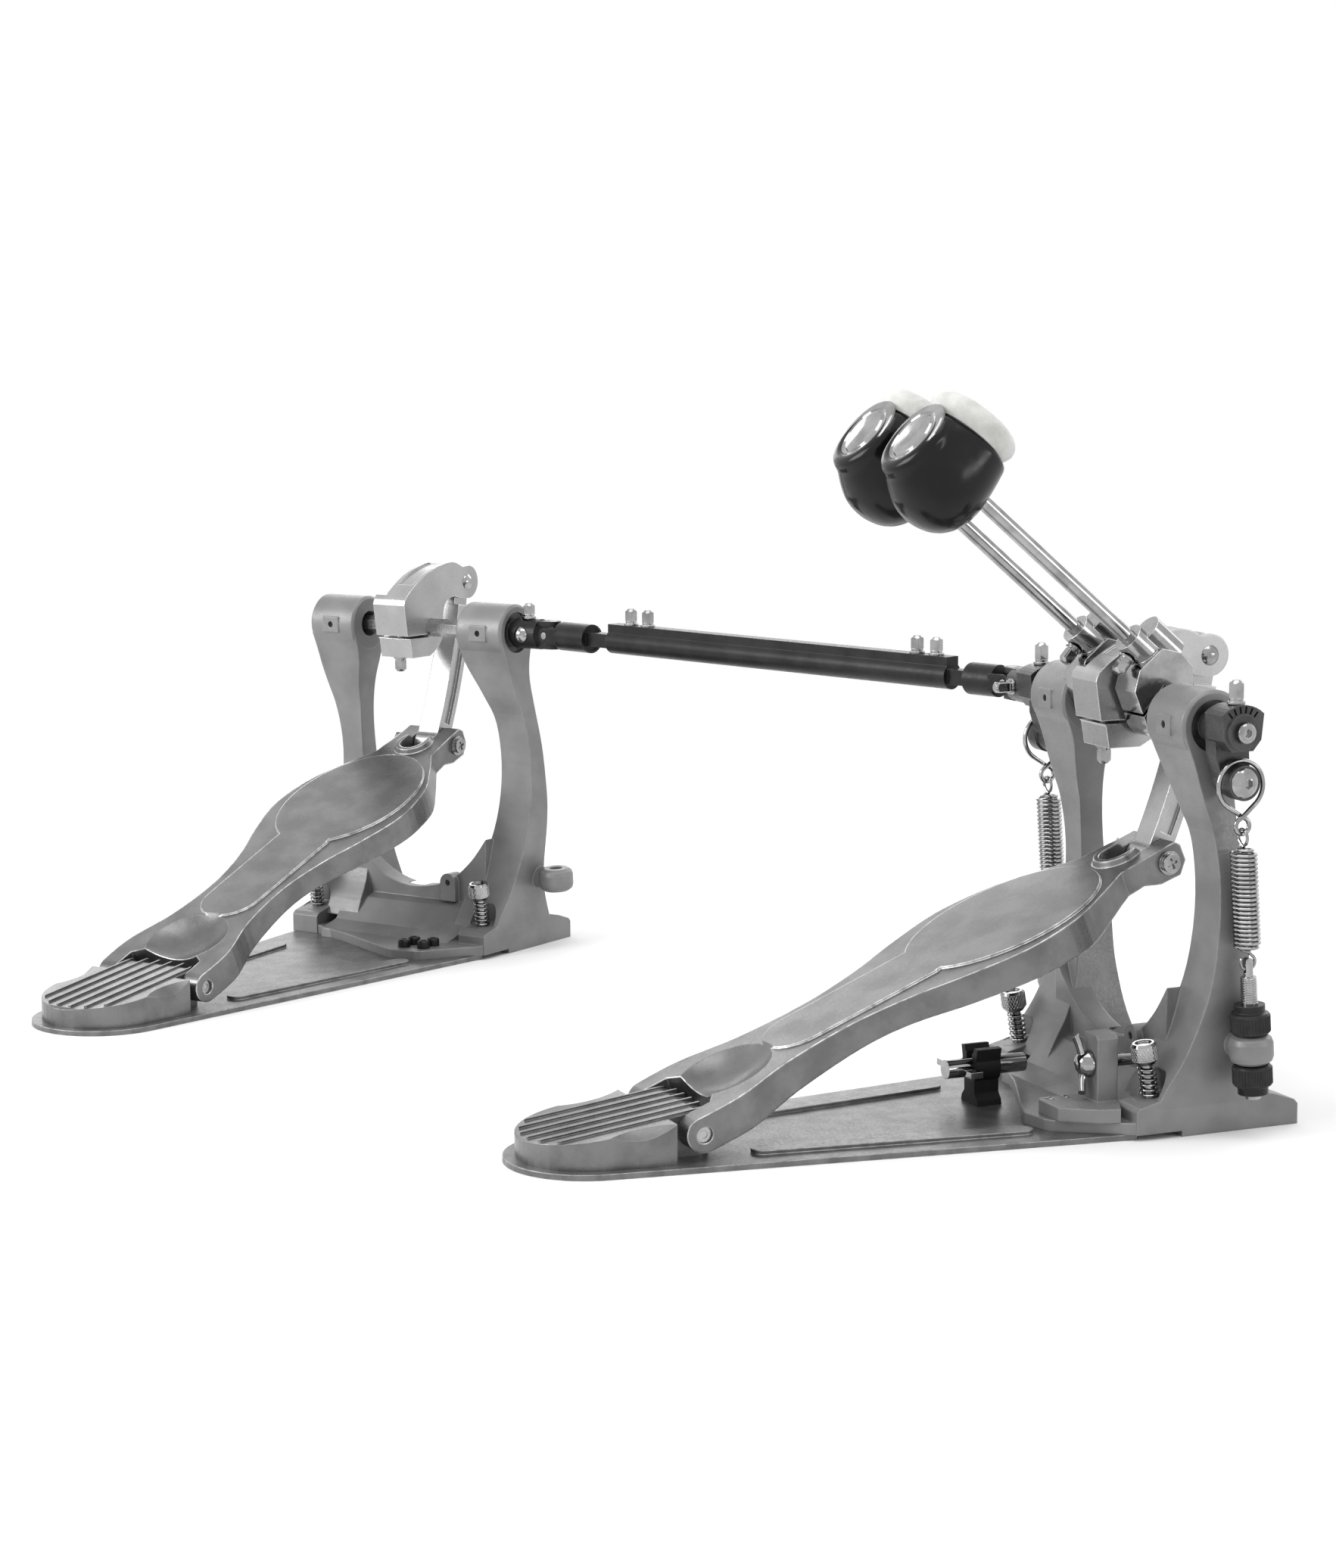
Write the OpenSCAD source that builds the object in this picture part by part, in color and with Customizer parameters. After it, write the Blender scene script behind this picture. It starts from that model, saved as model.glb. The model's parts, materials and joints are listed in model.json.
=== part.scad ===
// Double bass drum pedal: a main pedal with two beaters, a remote pedal to its left, and the
// jointed driveshaft between them. Millimetres. +X is to the player's right, +Y runs from the
// heel to the drum, +Z is up. The origin is on the floor below the middle of the main cam shaft.
// Both pedals share one casting, one linkage and one footboard.

/* [Layout] */
// Height of the cam shafts above the floor
shaft_height = 205; // [202:0.5:212]
// How far the remote pedal stands to the left of the main one
remote_left = 572.8; // [555:1:640]
// How far the remote pedal stands behind the main one
remote_back = 196; // [180:1:230]
// Turn of the remote pedal toward the player
remote_turn = 33.5; // [30:0.5:36]

/* [Clearances] */
// Gap between neighbouring moving faces
gap = 0.3; // [0.25:0.05:0.4]
// Radial clearance of pins and shafts
fit = 0.1; // [0.05:0.01:0.1]
// Extra radial play of the linkage's open pivot
open_play = 1.9; // [1.8:0.05:2.3]

/* [Base plate] */
// Sheet thickness of the base plate
plate_t = 3; // [2.6:0.1:3.4]
// Radius of the rounded heel end
plate_rear_r = 42; // [40:0.5:46]
// Half width of the plate at its front corners
plate_front_half = 77; // [74:0.5:84]
// Distance of the front corners behind the shaft
plate_front_back = 38; // [34:0.5:42]
// Half width of the narrow tongue under the frame
tongue_half = 30; // [26:0.5:40]
// Reach of the tongue in front of the shaft
tongue_reach = 45; // [42:0.5:52]
// Width of the two pressed beads
bead_w = 12; // [8:0.5:16]
// Height of the pressed beads
bead_h = 2; // [1:0.1:3]
// Length of the pressed beads
bead_len = 146; // [100:1:150]

/* [Heel plate] */
// Distance of the heel hinge behind the shaft
hinge_back = 257; // [252:0.5:262]
// Height of the heel hinge
hinge_h = 16.4; // [15.5:0.1:18]
// Radius of the heel hinge pin
hinge_r = 4; // [3:0.1:4.6]
// Half width of the heel casting
heel_half = 39; // [37:0.5:41]
// Radius of the rounded rear end of the heel casting
heel_rear_r = 36; // [33:0.5:38]
// Distance from the hinge to the centre of that rounding
heel_rear_back = 45; // [42:0.5:50]
// Height of the casting at its rear edge
heel_rear_h = 14.5; // [12:0.5:16]
// Height of the casting at its front edge
heel_front_h = 23; // [21:0.5:25]
// Height of the non-slip ribs
rib_h = 1; // [0.6:0.1:1.4]
// Distance between the non-slip ribs
rib_pitch = 9.6; // [8:0.1:10.4]
// Half width of the hinge tongue
heel_tongue_half = 27; // [22:0.5:28]

/* [Footboard] */
// Distance from the heel hinge to the toe pin
board_len = 289.1; // [284:0.1:292]
// Slope of the board at rest
board_slope = 22.55; // [21.5:0.05:23.5]
// Height of the board's outer ledge above the line of its pins
board_top = 8.5; // [8:0.1:9.5]
// Height of the raised foot panel above the ledge
panel_raise = 1.5; // [0.5:0.1:2]
// Thickness of the board's walls and roof
board_wall = 4; // [3:0.1:5]
// Half width at the heel fork
fork_half = 39; // [38:0.5:42]
// Half width at the narrow neck
neck_half = 27; // [24:0.5:30]
// Half width at the broad ball of the foot
ball_half = 51.5; // [47:0.5:55]
// Half width of the toe block
toe_half = 20.5; // [19:0.5:23]
// Depth of the skirt below the line of the pins
skirt = 8; // [6:0.1:9]
// Radius of the toe pin
toe_pin_r = 3.5; // [3:0.1:4]

/* [Linkage] */
// Width of the link arm
link_w = 16; // [14:0.1:17]
// Thickness of the link arm
link_t = 13.5; // [11:0.1:14]
// Forward bow of the link arm
link_bow = 4; // [2:0.1:6]
// Width of the link's upper eye between the cam cheeks
link_eye_w = 7.8; // [6.5:0.1:8.4]
// Reach of the cam from the shaft to the link pivot
cam_reach = 47.8; // [46:0.1:49]
// Angle of the cam's pivot above the horizontal
cam_lift = 33.65; // [31:0.05:36]
// Radius of the cam's pivot pin
pivot_r = 3; // [2.6:0.05:3.2]
// Thickness of each cam cheek
cheek_t = 4.4; // [3.6:0.1:5]

/* [Shafts and bearings] */
// Width of the hexagon across its flats
hex_af = 10; // [9:0.1:11]
// Radius of the shaft journals
journal_r = 5; // [4.4:0.1:5]
// Outer radius of the bearings
bearing_r = 13; // [11.5:0.1:14]
// Width of the bearings
bearing_w = 8; // [7:0.1:9]
// Radius of the pilot that carries the left shaft on the right one
pilot_r = 3; // [2.4:0.1:3.4]

/* [Frame] */
// Distance of the bearing housings' inner faces from the middle
house_in = 42; // [41.8:0.1:43]
// Distance of their outer faces from the middle
house_out = 78; // [76.5:0.1:78.4]
// Radius of the bearing housings
house_r = 18; // [17:0.1:19.5]
// Height where the posts are slimmest from the side
post_waist_h = 120; // [110:1:130]
// Width of a foot of the frame
foot_w = 20.6; // [19:0.1:22]
// Outer face of the feet from the middle
foot_out = 80.6; // [79:0.1:82]
// Thickness of the low rear plate of the frame
rear_plate_t = 6; // [5:0.1:7]
// Radius of the spring lugs
lug_r = 7.25; // [6.5:0.05:8]
// Height of the spring lugs
lug_h = 46; // [43:0.5:48]
// Distance of the lug axis in front of the shaft
lug_front = 12; // [10:0.5:13.5]
// Radius of the boss around the lug's hole
lug_boss_r = 11; // [9.5:0.1:11.5]
// Radius of the tension rods
rod_thread_r = 3.9; // [3.2:0.1:4.2]
// Distance of the springs from the middle of the main pedal
spring_x = 98; // [97:0.1:99]

/* [Return springs] */
// Outside diameter of the return springs
spring_d = 14; // [12:0.1:15]
// Wire thickness of the return springs
spring_wire = 1.7; // [1.4:0.05:1.75]
// Curls of each return spring
spring_curls = 24; // [20:1:24]
// Rise of each curl
spring_pitch = 2.2; // [2.18:0.01:2.25]
// Straight neck between a hook and the coil
hook_neck = 0.8; // [0.5:0.1:2]
// Reach of the rocker from the shaft to its roller
rocker_reach = 25.4; // [24:0.1:27]
// Height of the rocker's fan above the shaft
rocker_top = 13.4; // [12.5:0.1:14.4]
// Radius of the rocker's hub beside the bearing
rocker_hub_r = 9.2; // [8:0.1:10.5]
// Radius of the roller that the teardrop hangs on
roller_r = 8.7; // [7.5:0.1:9]
// Wire thickness of the teardrop
drop_wire = 2.4; // [2:0.1:2.6]
// Radius of the knurled tension knobs
knob_r = 10; // [9:0.1:10.4]
// Height of a tension knob
knob_h = 15; // [13:0.1:16]

/* [Beaters] */
// Lean of the beater rods behind the vertical
rod_lean = 49.5; // [44:0.5:52]
// Thickness of the beater rods
rod_d = 8; // [7:0.1:8.4]
// Offset of the rods in front of the shaft
rod_offset = 19.4; // [18.5:0.1:20.5]
// Place of the right beater across the pedal
right_beater_x = 22; // [21.5:0.1:22.4]
// Place of the left beater across the pedal
left_beater_x = 32; // [31.6:0.1:32.4]
// Distance from the shaft to the bottom of a beater head
head_start = 149; // [130:0.5:155]
// Height of a beater head along its rod
head_len = 49; // [46:0.5:52]
// Radius of a beater head
head_r = 24; // [22:0.5:25]
// Thickness of the felt striking pad
felt_t = 9; // [6:0.5:12]
// Radius of the chrome cap on a beater head
cap_r = 20; // [16:0.5:20.5]

/* [Driveshaft] */
// Distance of the main universal joint from the middle of the main pedal
main_joint_x = 130; // [129:0.5:134]
// Distance of the remote universal joint from the middle of the remote pedal
remote_joint_x = 107; // [106.5:0.5:110]
// Radius of the joint barrels and yokes
barrel_r = 9; // [8.6:0.1:9.4]
// Radius of the joint pins
cross_r = 2.3; // [2:0.05:2.5]
// Width of the square inner rods
bar_w = 8.6; // [7.6:0.1:8.8]
// Radius of the round part of the outer tube
tube_r = 7.5; // [7.3:0.1:8.2]
// Distance of the tube's main end from the main joint
tube_start = 44; // [40:0.5:48]
// Distance of the tube's far end from the remote joint
tube_stop = 56; // [54:0.5:60]

/* [Floor spikes] */
// Distance of the spikes from the middle
spike_x = 68.4; // [68:0.1:69]
// Distance of a spike's seat behind the shaft
spike_back = 27.6; // [27:0.1:28.5]
// Height of a spike's seat
spike_seat_h = 19; // [18:0.1:20]
// Lean of the spikes
spike_lean = 9; // [7:0.5:10]
// Thread radius of a spike
spike_r = 3; // [2.6:0.1:3.2]
// Radius of a spike's knurled head
spike_head_r = 6.5; // [5.5:0.1:7]
// Height of a spike's knurled head
spike_head_h = 11; // [9:0.1:12]
// Length of the spring under the head
spike_spring_len = 17; // [16:0.1:18.5]
// Wire thickness of that spring
spike_wire = 1.2; // [1:0.05:1.3]
// Outside diameter of that spring
spike_spring_d = 9.5; // [9:0.1:10]
// Curls of that spring
spike_curls = 6; // [5:1:6]

/* [Hoop clamp and drum key] */
// Height of the wing bolt
wing_h = 34.5; // [34:0.1:36]
// Place of the wing bolt across the pedal
wing_x = 50; // [49:0.1:51]
// Reach of each wing from the bolt's axis
wing_reach = 15.5; // [12:0.1:16]
// Half width of the clamp jaw
jaw_half = 26; // [20:0.5:27]
// Height of the gap that takes the drum hoop
hoop_gap = 10; // [8:0.1:11]
// Radius of the drum key's barrel
key_r = 5; // [4.5:0.1:5.4]
// Place of the drum key to the left of the middle
key_left = 14; // [12:0.5:16]
// Height of the drum key's axis
key_h = 22; // [21:0.1:24]

/* [Hidden] */
$fn = 48;
e = 0.01;

hinge_y = -hinge_back;
toe_y = hinge_y + board_len * cos(board_slope);
toe_z = hinge_h + board_len * sin(board_slope);
pivot_y = cam_reach * cos(cam_lift);
pivot_z = shaft_height + cam_reach * sin(cam_lift);
link_len = norm([pivot_y - toe_y, pivot_z - toe_z]);
slot_half = link_eye_w / 2 + gap;
cam_right = slot_half + cheek_t;
cam_left = -slot_half - cheek_t;
block_left = -17;
block_right = 5;
hex_r = hex_af / 2 / cos(30);
sleeve_r = house_r / 2 - 0.7;
roller_y = 3;
roller_z = shaft_height - rocker_reach;
line_tilt = atan2(lug_front - roller_y, roller_z - lug_h);
line_len = norm([lug_front - roller_y, roller_z - lug_h]);
drop_loop_r = 11.1 + drop_wire / 2;
drop_loop_c = line_len + roller_r + gap + 0.5 - 11.1;
drop_end_r = 4;
drop_reach = 20;
drop_end_c = drop_loop_c - drop_reach;
hook_r = 4;
hook_top = drop_end_c - drop_end_r + drop_wire / 2 + gap + spring_wire / 2;
coil_r = (spring_d - spring_wire) / 2;
coil_len = spring_curls * spring_pitch;
coil_start = hook_top - 2 * hook_r - coil_len - hook_neck;
hook_low = coil_start - hook_r - 1;
rod_top = hook_low - 0.5;
joint_main = [-main_joint_x, 0];
remote_pos = [-remote_left, -remote_back];
joint_far = remote_pos + remote_joint_x * [cos(remote_turn), sin(remote_turn)];
drive_len = norm(joint_far - joint_main);
drive_turn = atan2(joint_far[1] - joint_main[1], joint_far[0] - joint_main[0]);
prong_in = cross_r + 3.1;
prong_out = barrel_r - 0.2;
prong_half = cross_r + 2.5;
knob_gap = 0.4;
yoke_seat = barrel_r + 0.65;
lug_span = 2 * lug_r;
spike_head_z = spike_spring_len + 0.4;

// Outline helpers
function arc(c, r, a0, a1, n = 12) =
    [for (i = [0:n]) c + r * [cos(a0 + (a1 - a0) * i / n), sin(a0 + (a1 - a0) * i / n)]];
function flip(p) = [for (i = [len(p) - 1:-1:0]) p[i]];
function mirrored(p) = [for (q = flip(p)) [-q[0], q[1]]];
function knot(p, i) = p[max(0, min(len(p) - 1, i))];
function blend(a, b, c, d, t) =
    0.5 * (2 * b + (c - a) * t + (2 * a - 5 * b + 4 * c - d) * t * t
    + (3 * b - a - 3 * c + d) * t * t * t);
function smooth(p, n = 5) = concat(
    [for (i = [0:len(p) - 2]) for (j = [0:n - 1])
        blend(knot(p, i - 1), p[i], p[i + 1], knot(p, i + 2), j / n)],
    [p[len(p) - 1]]);
function stadium(l, w) = concat(arc([(l - w) / 2, 0], w / 2, -90, 90, 10),
    arc([(w - l) / 2, 0], w / 2, 90, 270, 10));
function bar_arc(c, r, t, a0, a1) = concat(arc(c, r + t / 2, a0, a1, 14),
    arc(c, r - t / 2, a1, a0, 14));

// Sweep helpers
function unit(v) = v / norm(v);
function heading(p, i, ring) = ring
    ? unit(p[(i + 1) % len(p)] - p[(i + len(p) - 1) % len(p)])
    : unit(p[min(i + 1, len(p) - 1)] - p[max(i - 1, 0)]);
function square_to(v, t) = unit(v - (v * t) * t);
function sides_of(p, s0, ring) =
    [for (i = 0, s = square_to(s0, heading(p, 0, ring)); i < len(p);
        i = i + 1, s = i < len(p) ? square_to(s, heading(p, i, ring)) : s) s];

module wire(p, r, n = 6, s0 = [1, 0, 0], ring = false) {
    s = sides_of(p, s0, ring);
    k = len(p);
    pts = [for (i = [0:k - 1]) let (t = heading(p, i, ring), u = s[i], v = cross(t, u))
        for (j = [0:n - 1]) p[i] + r * (cos(360 * j / n) * u + sin(360 * j / n) * v)];
    last = ring ? k - 1 : k - 2;
    quads = [for (i = [0:last]) for (j = [0:n - 1])
        let (a = i * n, b = ((i + 1) % k) * n, m = (j + 1) % n)
        each [[a + j, b + j, b + m], [a + j, b + m, a + m]]];
    caps = ring ? [] : [[for (j = [0:n - 1]) j], [for (j = [n - 1:-1:0]) (k - 1) * n + j]];
    polyhedron(points = pts, faces = concat(quads, caps), convexity = 8);
}

// Solids that run along X or Y from an outline in the other two axes
module along_x(x0, x1) {
    translate([x0, 0, 0]) rotate([90, 0, 90]) linear_extrude(x1 - x0) children();
}
module along_y(y0, y1) {
    translate([0, y1, 0]) rotate([90, 0, 0]) linear_extrude(y1 - y0) children();
}
module pin_x(x0, x1, r, y = 0, z = 0) {
    translate([x0, y, z]) rotate([0, 90, 0]) cylinder(h = x1 - x0, r = r);
}
module pin_y(y0, y1, r, x = 0, z = 0) {
    translate([x, y0, z]) rotate([-90, 0, 0]) cylinder(h = y1 - y0, r = r);
}
module hex_x(x0, x1, r) {
    translate([x0, 0, shaft_height]) rotate([0, 90, 0]) cylinder(h = x1 - x0, r = r, $fn = 6);
}
// Ring about X with bevelled rims
module ring_x(x0, x1, ro, ri, c = 1) {
    translate([x0, 0, shaft_height]) rotate([0, 90, 0]) rotate_extrude() polygon([[ri, 0],
        [ro - c, 0], [ro, c], [ro, x1 - x0 - c], [ro - c, x1 - x0], [ri, x1 - x0]]);
}

// Square-headed key bolt standing on z = 0, its shank below
module key_bolt(shank = 6, head = 8) {
    translate([0, 0, -shank]) cylinder(h = shank, r = 2.4);
    cylinder(h = 1.2, r = 4.4);
    translate([0, 0, 1.2]) cylinder(h = 1.4, r = 3.4);
    intersection() {
        translate([-2.9, -2.9, 2.6]) cube([5.8, 5.8, head]);
        translate([0, 0, 2.6]) union() {
            cylinder(h = head - 1.6, r = 3.6);
            translate([0, 0, head - 1.6]) cylinder(h = 1.6, r1 = 3.6, r2 = 2.2);
        }
    }
}
// Domed head of radius r and height h
module dome(r, h) {
    k = (r * r + h * h) / (2 * h);
    rotate_extrude() polygon(concat([[0, 0]], arc([0, h - k], k, acos(r / k), 90, 8)));
}
module bolt_hole(depth = 6) {
    translate([0, 0, -depth - 0.4]) cylinder(h = depth + 1, r = 2.5);
}

// Places
module at_remote() {
    translate([remote_pos[0], remote_pos[1], 0]) rotate([0, 0, remote_turn]) children();
}
module on_board() {
    translate([0, hinge_y, hinge_h]) rotate([board_slope, 0, 0]) children();
}
module on_line(side) {
    translate([side * spring_x, lug_front, lug_h]) rotate([line_tilt, 0, 0]) children();
}
module on_spike(side) {
    translate([side * spike_x, -spike_back, spike_seat_h]) rotate([spike_lean, 0, 0])
        children();
}
module on_beater(x) {
    translate([x, 0, shaft_height]) rotate([rod_lean, 0, 0]) children();
}
module on_drive() {
    translate([joint_main[0], joint_main[1], shaft_height]) rotate([0, 0, drive_turn])
        children();
}

// Pressed base plate with a rounded heel end, two beads and a tongue for the drum hoop
plate_rear_y = hinge_y - heel_rear_back;
plate_run = plate_rear_y + plate_front_back;
flank = atan2(plate_front_half, -plate_run);
flank_turn = flank - acos(plate_rear_r / norm([plate_front_half, plate_run]));
function plate_side() = concat(
    [[0, plate_rear_y - plate_rear_r]],
    arc([0, plate_rear_y], plate_rear_r, -80, flank_edge, 12),
    [[plate_front_half, -plate_front_back - 2], [plate_front_half - 2, -plate_front_back],
    [tongue_half + 8, -plate_front_back], [tongue_half, -plate_front_back + 8],
    [tongue_half, tongue_reach - 6], [tongue_half - 6, tongue_reach]]);
flank_edge = 90 - atan2(plate_front_half, -plate_run)
    - acos(plate_rear_r / norm([plate_front_half, plate_run]));
bead_tilt = 90 - atan2(plate_front_half - plate_rear_r, -plate_run);
module base_plate() {
    color("silver") {
        linear_extrude(plate_t) polygon(concat(plate_side(), mirrored(plate_side())));
        for (s = [-1, 1]) translate([s * (plate_front_half + plate_rear_r - 2 * bead_w - 12) / 2,
            -plate_front_back - 46 - bead_len / 2, plate_t - 0.5])
            rotate([0, 0, 90 - s * (90 - bead_tilt)])
            linear_extrude(bead_h + 0.5) polygon(stadium(bead_len, bead_w));
    }
}

// Heel casting: stepped rounded top, scooped flanks and the tongue that holds the hinge pin
heel_front_y = hinge_y - 14;
heel_rear_y = plate_rear_y - heel_rear_r;
heel_run = heel_front_y - heel_rear_y;
heel_slope = atan2(heel_front_h - heel_rear_h, heel_run);
heel_nose = hinge_y + 10;
function heel_plan(inset, nose) = concat(
    arc([0, plate_rear_y], heel_rear_r - inset, 180, 360, 24),
    [[heel_half - inset, plate_rear_y + 16], [heel_half - inset, heel_front_y - inset],
    [heel_tongue_half - inset, heel_front_y - inset]],
    nose ? arc([heel_tongue_half - inset - 8, heel_nose - 8 - inset], 8, 0, 90, 6) : [],
    nose ? arc([-heel_tongue_half + inset + 8, heel_nose - 8 - inset], 8, 90, 180, 6) : [],
    [[-heel_tongue_half + inset, heel_front_y - inset],
    [-heel_half + inset, heel_front_y - inset], [-heel_half + inset, plate_rear_y + 16]]);
module heel_plate() {
    color("gainsboro") difference() {
        union() {
            intersection() {
                translate([0, 0, plate_t]) linear_extrude(40) polygon(heel_plan(0, false));
                along_x(-heel_half - 1, heel_half + 1) polygon([[heel_rear_y - 1, plate_t],
                    [heel_rear_y - 1, heel_rear_h - 2], [heel_rear_y + 2, heel_rear_h],
                    [heel_front_y, heel_front_h], [heel_front_y + 1, plate_t]]);
            }
            // Tongue round the hinge pin, with a rounded nose
            intersection() {
                translate([0, 0, plate_t]) linear_extrude(40) polygon(heel_plan(0, true));
                along_x(-heel_tongue_half, heel_tongue_half) polygon(concat(
                    [[heel_front_y - 4, plate_t], [heel_front_y - 4, heel_front_h - 0.6],
                    [heel_front_y, heel_front_h], [hinge_y + 2, hinge_h + 8.7],
                    [hinge_y + 8, hinge_h + 7.6], [hinge_y + 10, hinge_h + 5.4]],
                    arc([hinge_y, hinge_h], 8.8, 10, -50, 8),
                    [[hinge_y + 8, plate_t + 4], [hinge_y + 9, plate_t]]));
            }
            // Ribs that run lengthwise
            intersection() {
                translate([0, 0, plate_t]) linear_extrude(40) polygon(heel_plan(2, true));
                translate([0, heel_front_y, heel_front_h]) rotate([heel_slope, 0, 0])
                    for (k = [-2.5:2.5]) translate([k * rib_pitch - 0.7, -90, -2])
                    cube([1.4, 112, 2 + rib_h]);
            }
        }
        for (s = [-1, 1]) translate([s * (heel_half + 22), heel_front_y - 24,
            heel_front_h + 39]) sphere(r = 51, $fn = 72);
        pin_x(-60, 60, hinge_r, hinge_y, hinge_h);
    }
}
module hinge_pin() {
    color("lightgray") difference() {
        pin_x(-fork_half + 0.5, fork_half - 0.5, hinge_r, hinge_y, hinge_h);
        for (s = [-1, 1]) pin_x(s * (fork_half - 0.5) - 0.6, s * (fork_half - 0.5) + 0.6,
            hinge_r / 2, hinge_y, hinge_h);
    }
}

// Footboard, drawn in its own frame: y runs along the board, z stands square to it
board_end = board_len + board_top;
function board_right() = concat(
    smooth([[fork_half, -12], [fork_half + 1, 22], [30, 56] + [neck_half - 27, 0],
    [neck_half, 94], [neck_half + 6, 127], [(neck_half + ball_half) / 2 + 4, 155],
    [ball_half, 187], [ball_half - 4, 218], [(ball_half + toe_half) / 2, 240],
    [toe_half + 2, 261]], 5),
    [[toe_half, board_len - 4], [toe_half, board_end + 1]]);
function board_inner() = [for (q = board_right()) if (q[1] > 66 && q[1] < 250)
    [q[0] - board_wall, q[1]]];
module board_bottom() {
    polygon(concat(
        [[board_len - 4, board_top]],
        [[board_len + 7, board_top], [board_len + 9.5, board_top - 2.5], [board_len + 9.5, -3],
        [board_len + 4, -board_top - 0.5], [board_len - 8, -board_top]],
        smooth([[board_len - 18, -skirt + 3.5], [board_len - 37, -skirt + 2.7],
        [board_len - 66, -skirt - 0.8], [200, -skirt], [150, -skirt + 1.6],
        [112, -skirt + 3.4], [68, -skirt + 1.2], [26, -skirt - 1]], 4),
        arc([0, 0], board_top + 0.5, 270, 90, 16)));
}
module footboard() {
    color("lightgray") on_board() difference() {
        union() {
            intersection() {
                translate([0, 0, -30]) linear_extrude(60)
                    polygon(concat(board_right(), mirrored(board_right())));
                along_x(-80, 80) board_bottom();
            }
            // Raised foot panel with its neck strip
            translate([0, 0, board_top - 1]) linear_extrude(panel_raise + 1) union() {
                polygon([for (a = [0:6:354]) [(ball_half - 7) * cos(a), 201 + 55 * sin(a)]]);
                polygon(concat([[neck_half - 7, 78], [neck_half - 6, 150]],
                    arc([0, 78], neck_half - 7, 180, 360, 12),
                    [[neck_half - 7, 78]]));
                translate([-neck_half + 7, 78]) square([2 * neck_half - 14, 90]);
            }
            // Raised rim round the pit of the link arm
            translate([0, board_len - 17, board_top - 1]) cylinder(h = panel_raise + 2.5,
                r1 = link_w / 2 + 5.6, r2 = link_w / 2 + 3.6);
        }
        // Hollow underside
        translate([0, 0, -30]) linear_extrude(30 + board_top - board_wall)
            polygon(concat(board_inner(), mirrored(board_inner())));
        // Fork slot round the heel tongue
        translate([0, 0, -30]) linear_extrude(60) polygon([
            [-heel_tongue_half - 0.5, -30], [heel_tongue_half + 0.5, -30],
            [heel_tongue_half + 0.5, 12], [heel_tongue_half - 7, 17],
            [-heel_tongue_half + 7, 17], [-heel_tongue_half - 0.5, 12]]);
        // Scoop in front of the slot
        translate([0, 33, board_top + 38.5]) sphere(r = 46, $fn = 64);
        // Slot and pit for the link arm
        translate([-link_w / 2 - 0.6, board_len - 17, -30]) cube([link_w + 1.2, 60, 60]);
        translate([0, board_len - 17, 2]) cylinder(h = 30, r = link_w / 2 + 0.6);
        pin_x(-60, 60, hinge_r + fit, 0, 0);
        pin_x(-60, 60, toe_pin_r, board_len, 0);
    }
}
module toe_screw() {
    color("silver") on_board() translate([0, board_len, 0]) {
        difference() {
            union() {
                pin_x(-toe_half - 8, toe_half + 3.4, toe_pin_r);
                pin_x(toe_half, toe_half + 1.2, 6.2);
                pin_x(toe_half + 1, toe_half + 3.6, 4.9);
            }
            translate([toe_half + 2.4, -0.8, -3]) cube([3, 1.6, 6]);
            translate([toe_half + 2.4, -3, -0.8]) cube([3, 6, 1.6]);
        }
        translate([-toe_half - 7, 0, 0]) rotate([0, 90, 0]) cylinder(h = 7, r = 6.4, $fn = 6);
    }
}

// Curved link arm from the toe pin up to the cam
link_r = (link_len * link_len / 4 + link_bow * link_bow) / (2 * link_bow);
link_up = atan2(pivot_z - toe_z, pivot_y - toe_y);
link_c = [(toe_y + pivot_y) / 2, (toe_z + pivot_z) / 2]
    + (link_r - link_bow) * [cos(link_up + 90), sin(link_up + 90)];
link_a0 = atan2(toe_z - link_c[1], toe_y - link_c[0]);
link_a1 = atan2(pivot_z - link_c[1], pivot_y - link_c[0]);
link_neck = 15.5 / link_r * 180 / PI;
link_gutter = 14 / link_r * 180 / PI;
module link_arm() {
    color("darkgray") difference() {
        union() {
            along_x(-link_w / 2, link_w / 2)
                polygon(bar_arc(link_c, link_r, link_t, link_a0, link_a1 - link_neck));
            along_x(-link_eye_w / 2, link_eye_w / 2)
                polygon(bar_arc(link_c, link_r, link_t - 0.5, link_a1 - link_neck - 1, link_a1));
            pin_x(-link_w / 2, link_w / 2, link_t / 2 + 2, toe_y, toe_z);
            pin_x(-link_eye_w / 2, link_eye_w / 2, link_t / 2 + 2, pivot_y, pivot_z);
        }
        for (x = [-link_w / 2 - 1, link_w / 2 - 2.2]) along_x(x, x + 3.2) polygon(
            bar_arc(link_c, link_r, link_t - 6.5, link_a0 + link_gutter,
            link_a1 - link_neck - 2.4));
        pin_x(-20, 20, toe_pin_r + fit, toe_y, toe_z);
        pin_x(-20, 20, pivot_r + open_play, pivot_y, pivot_z);
    }
}

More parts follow.
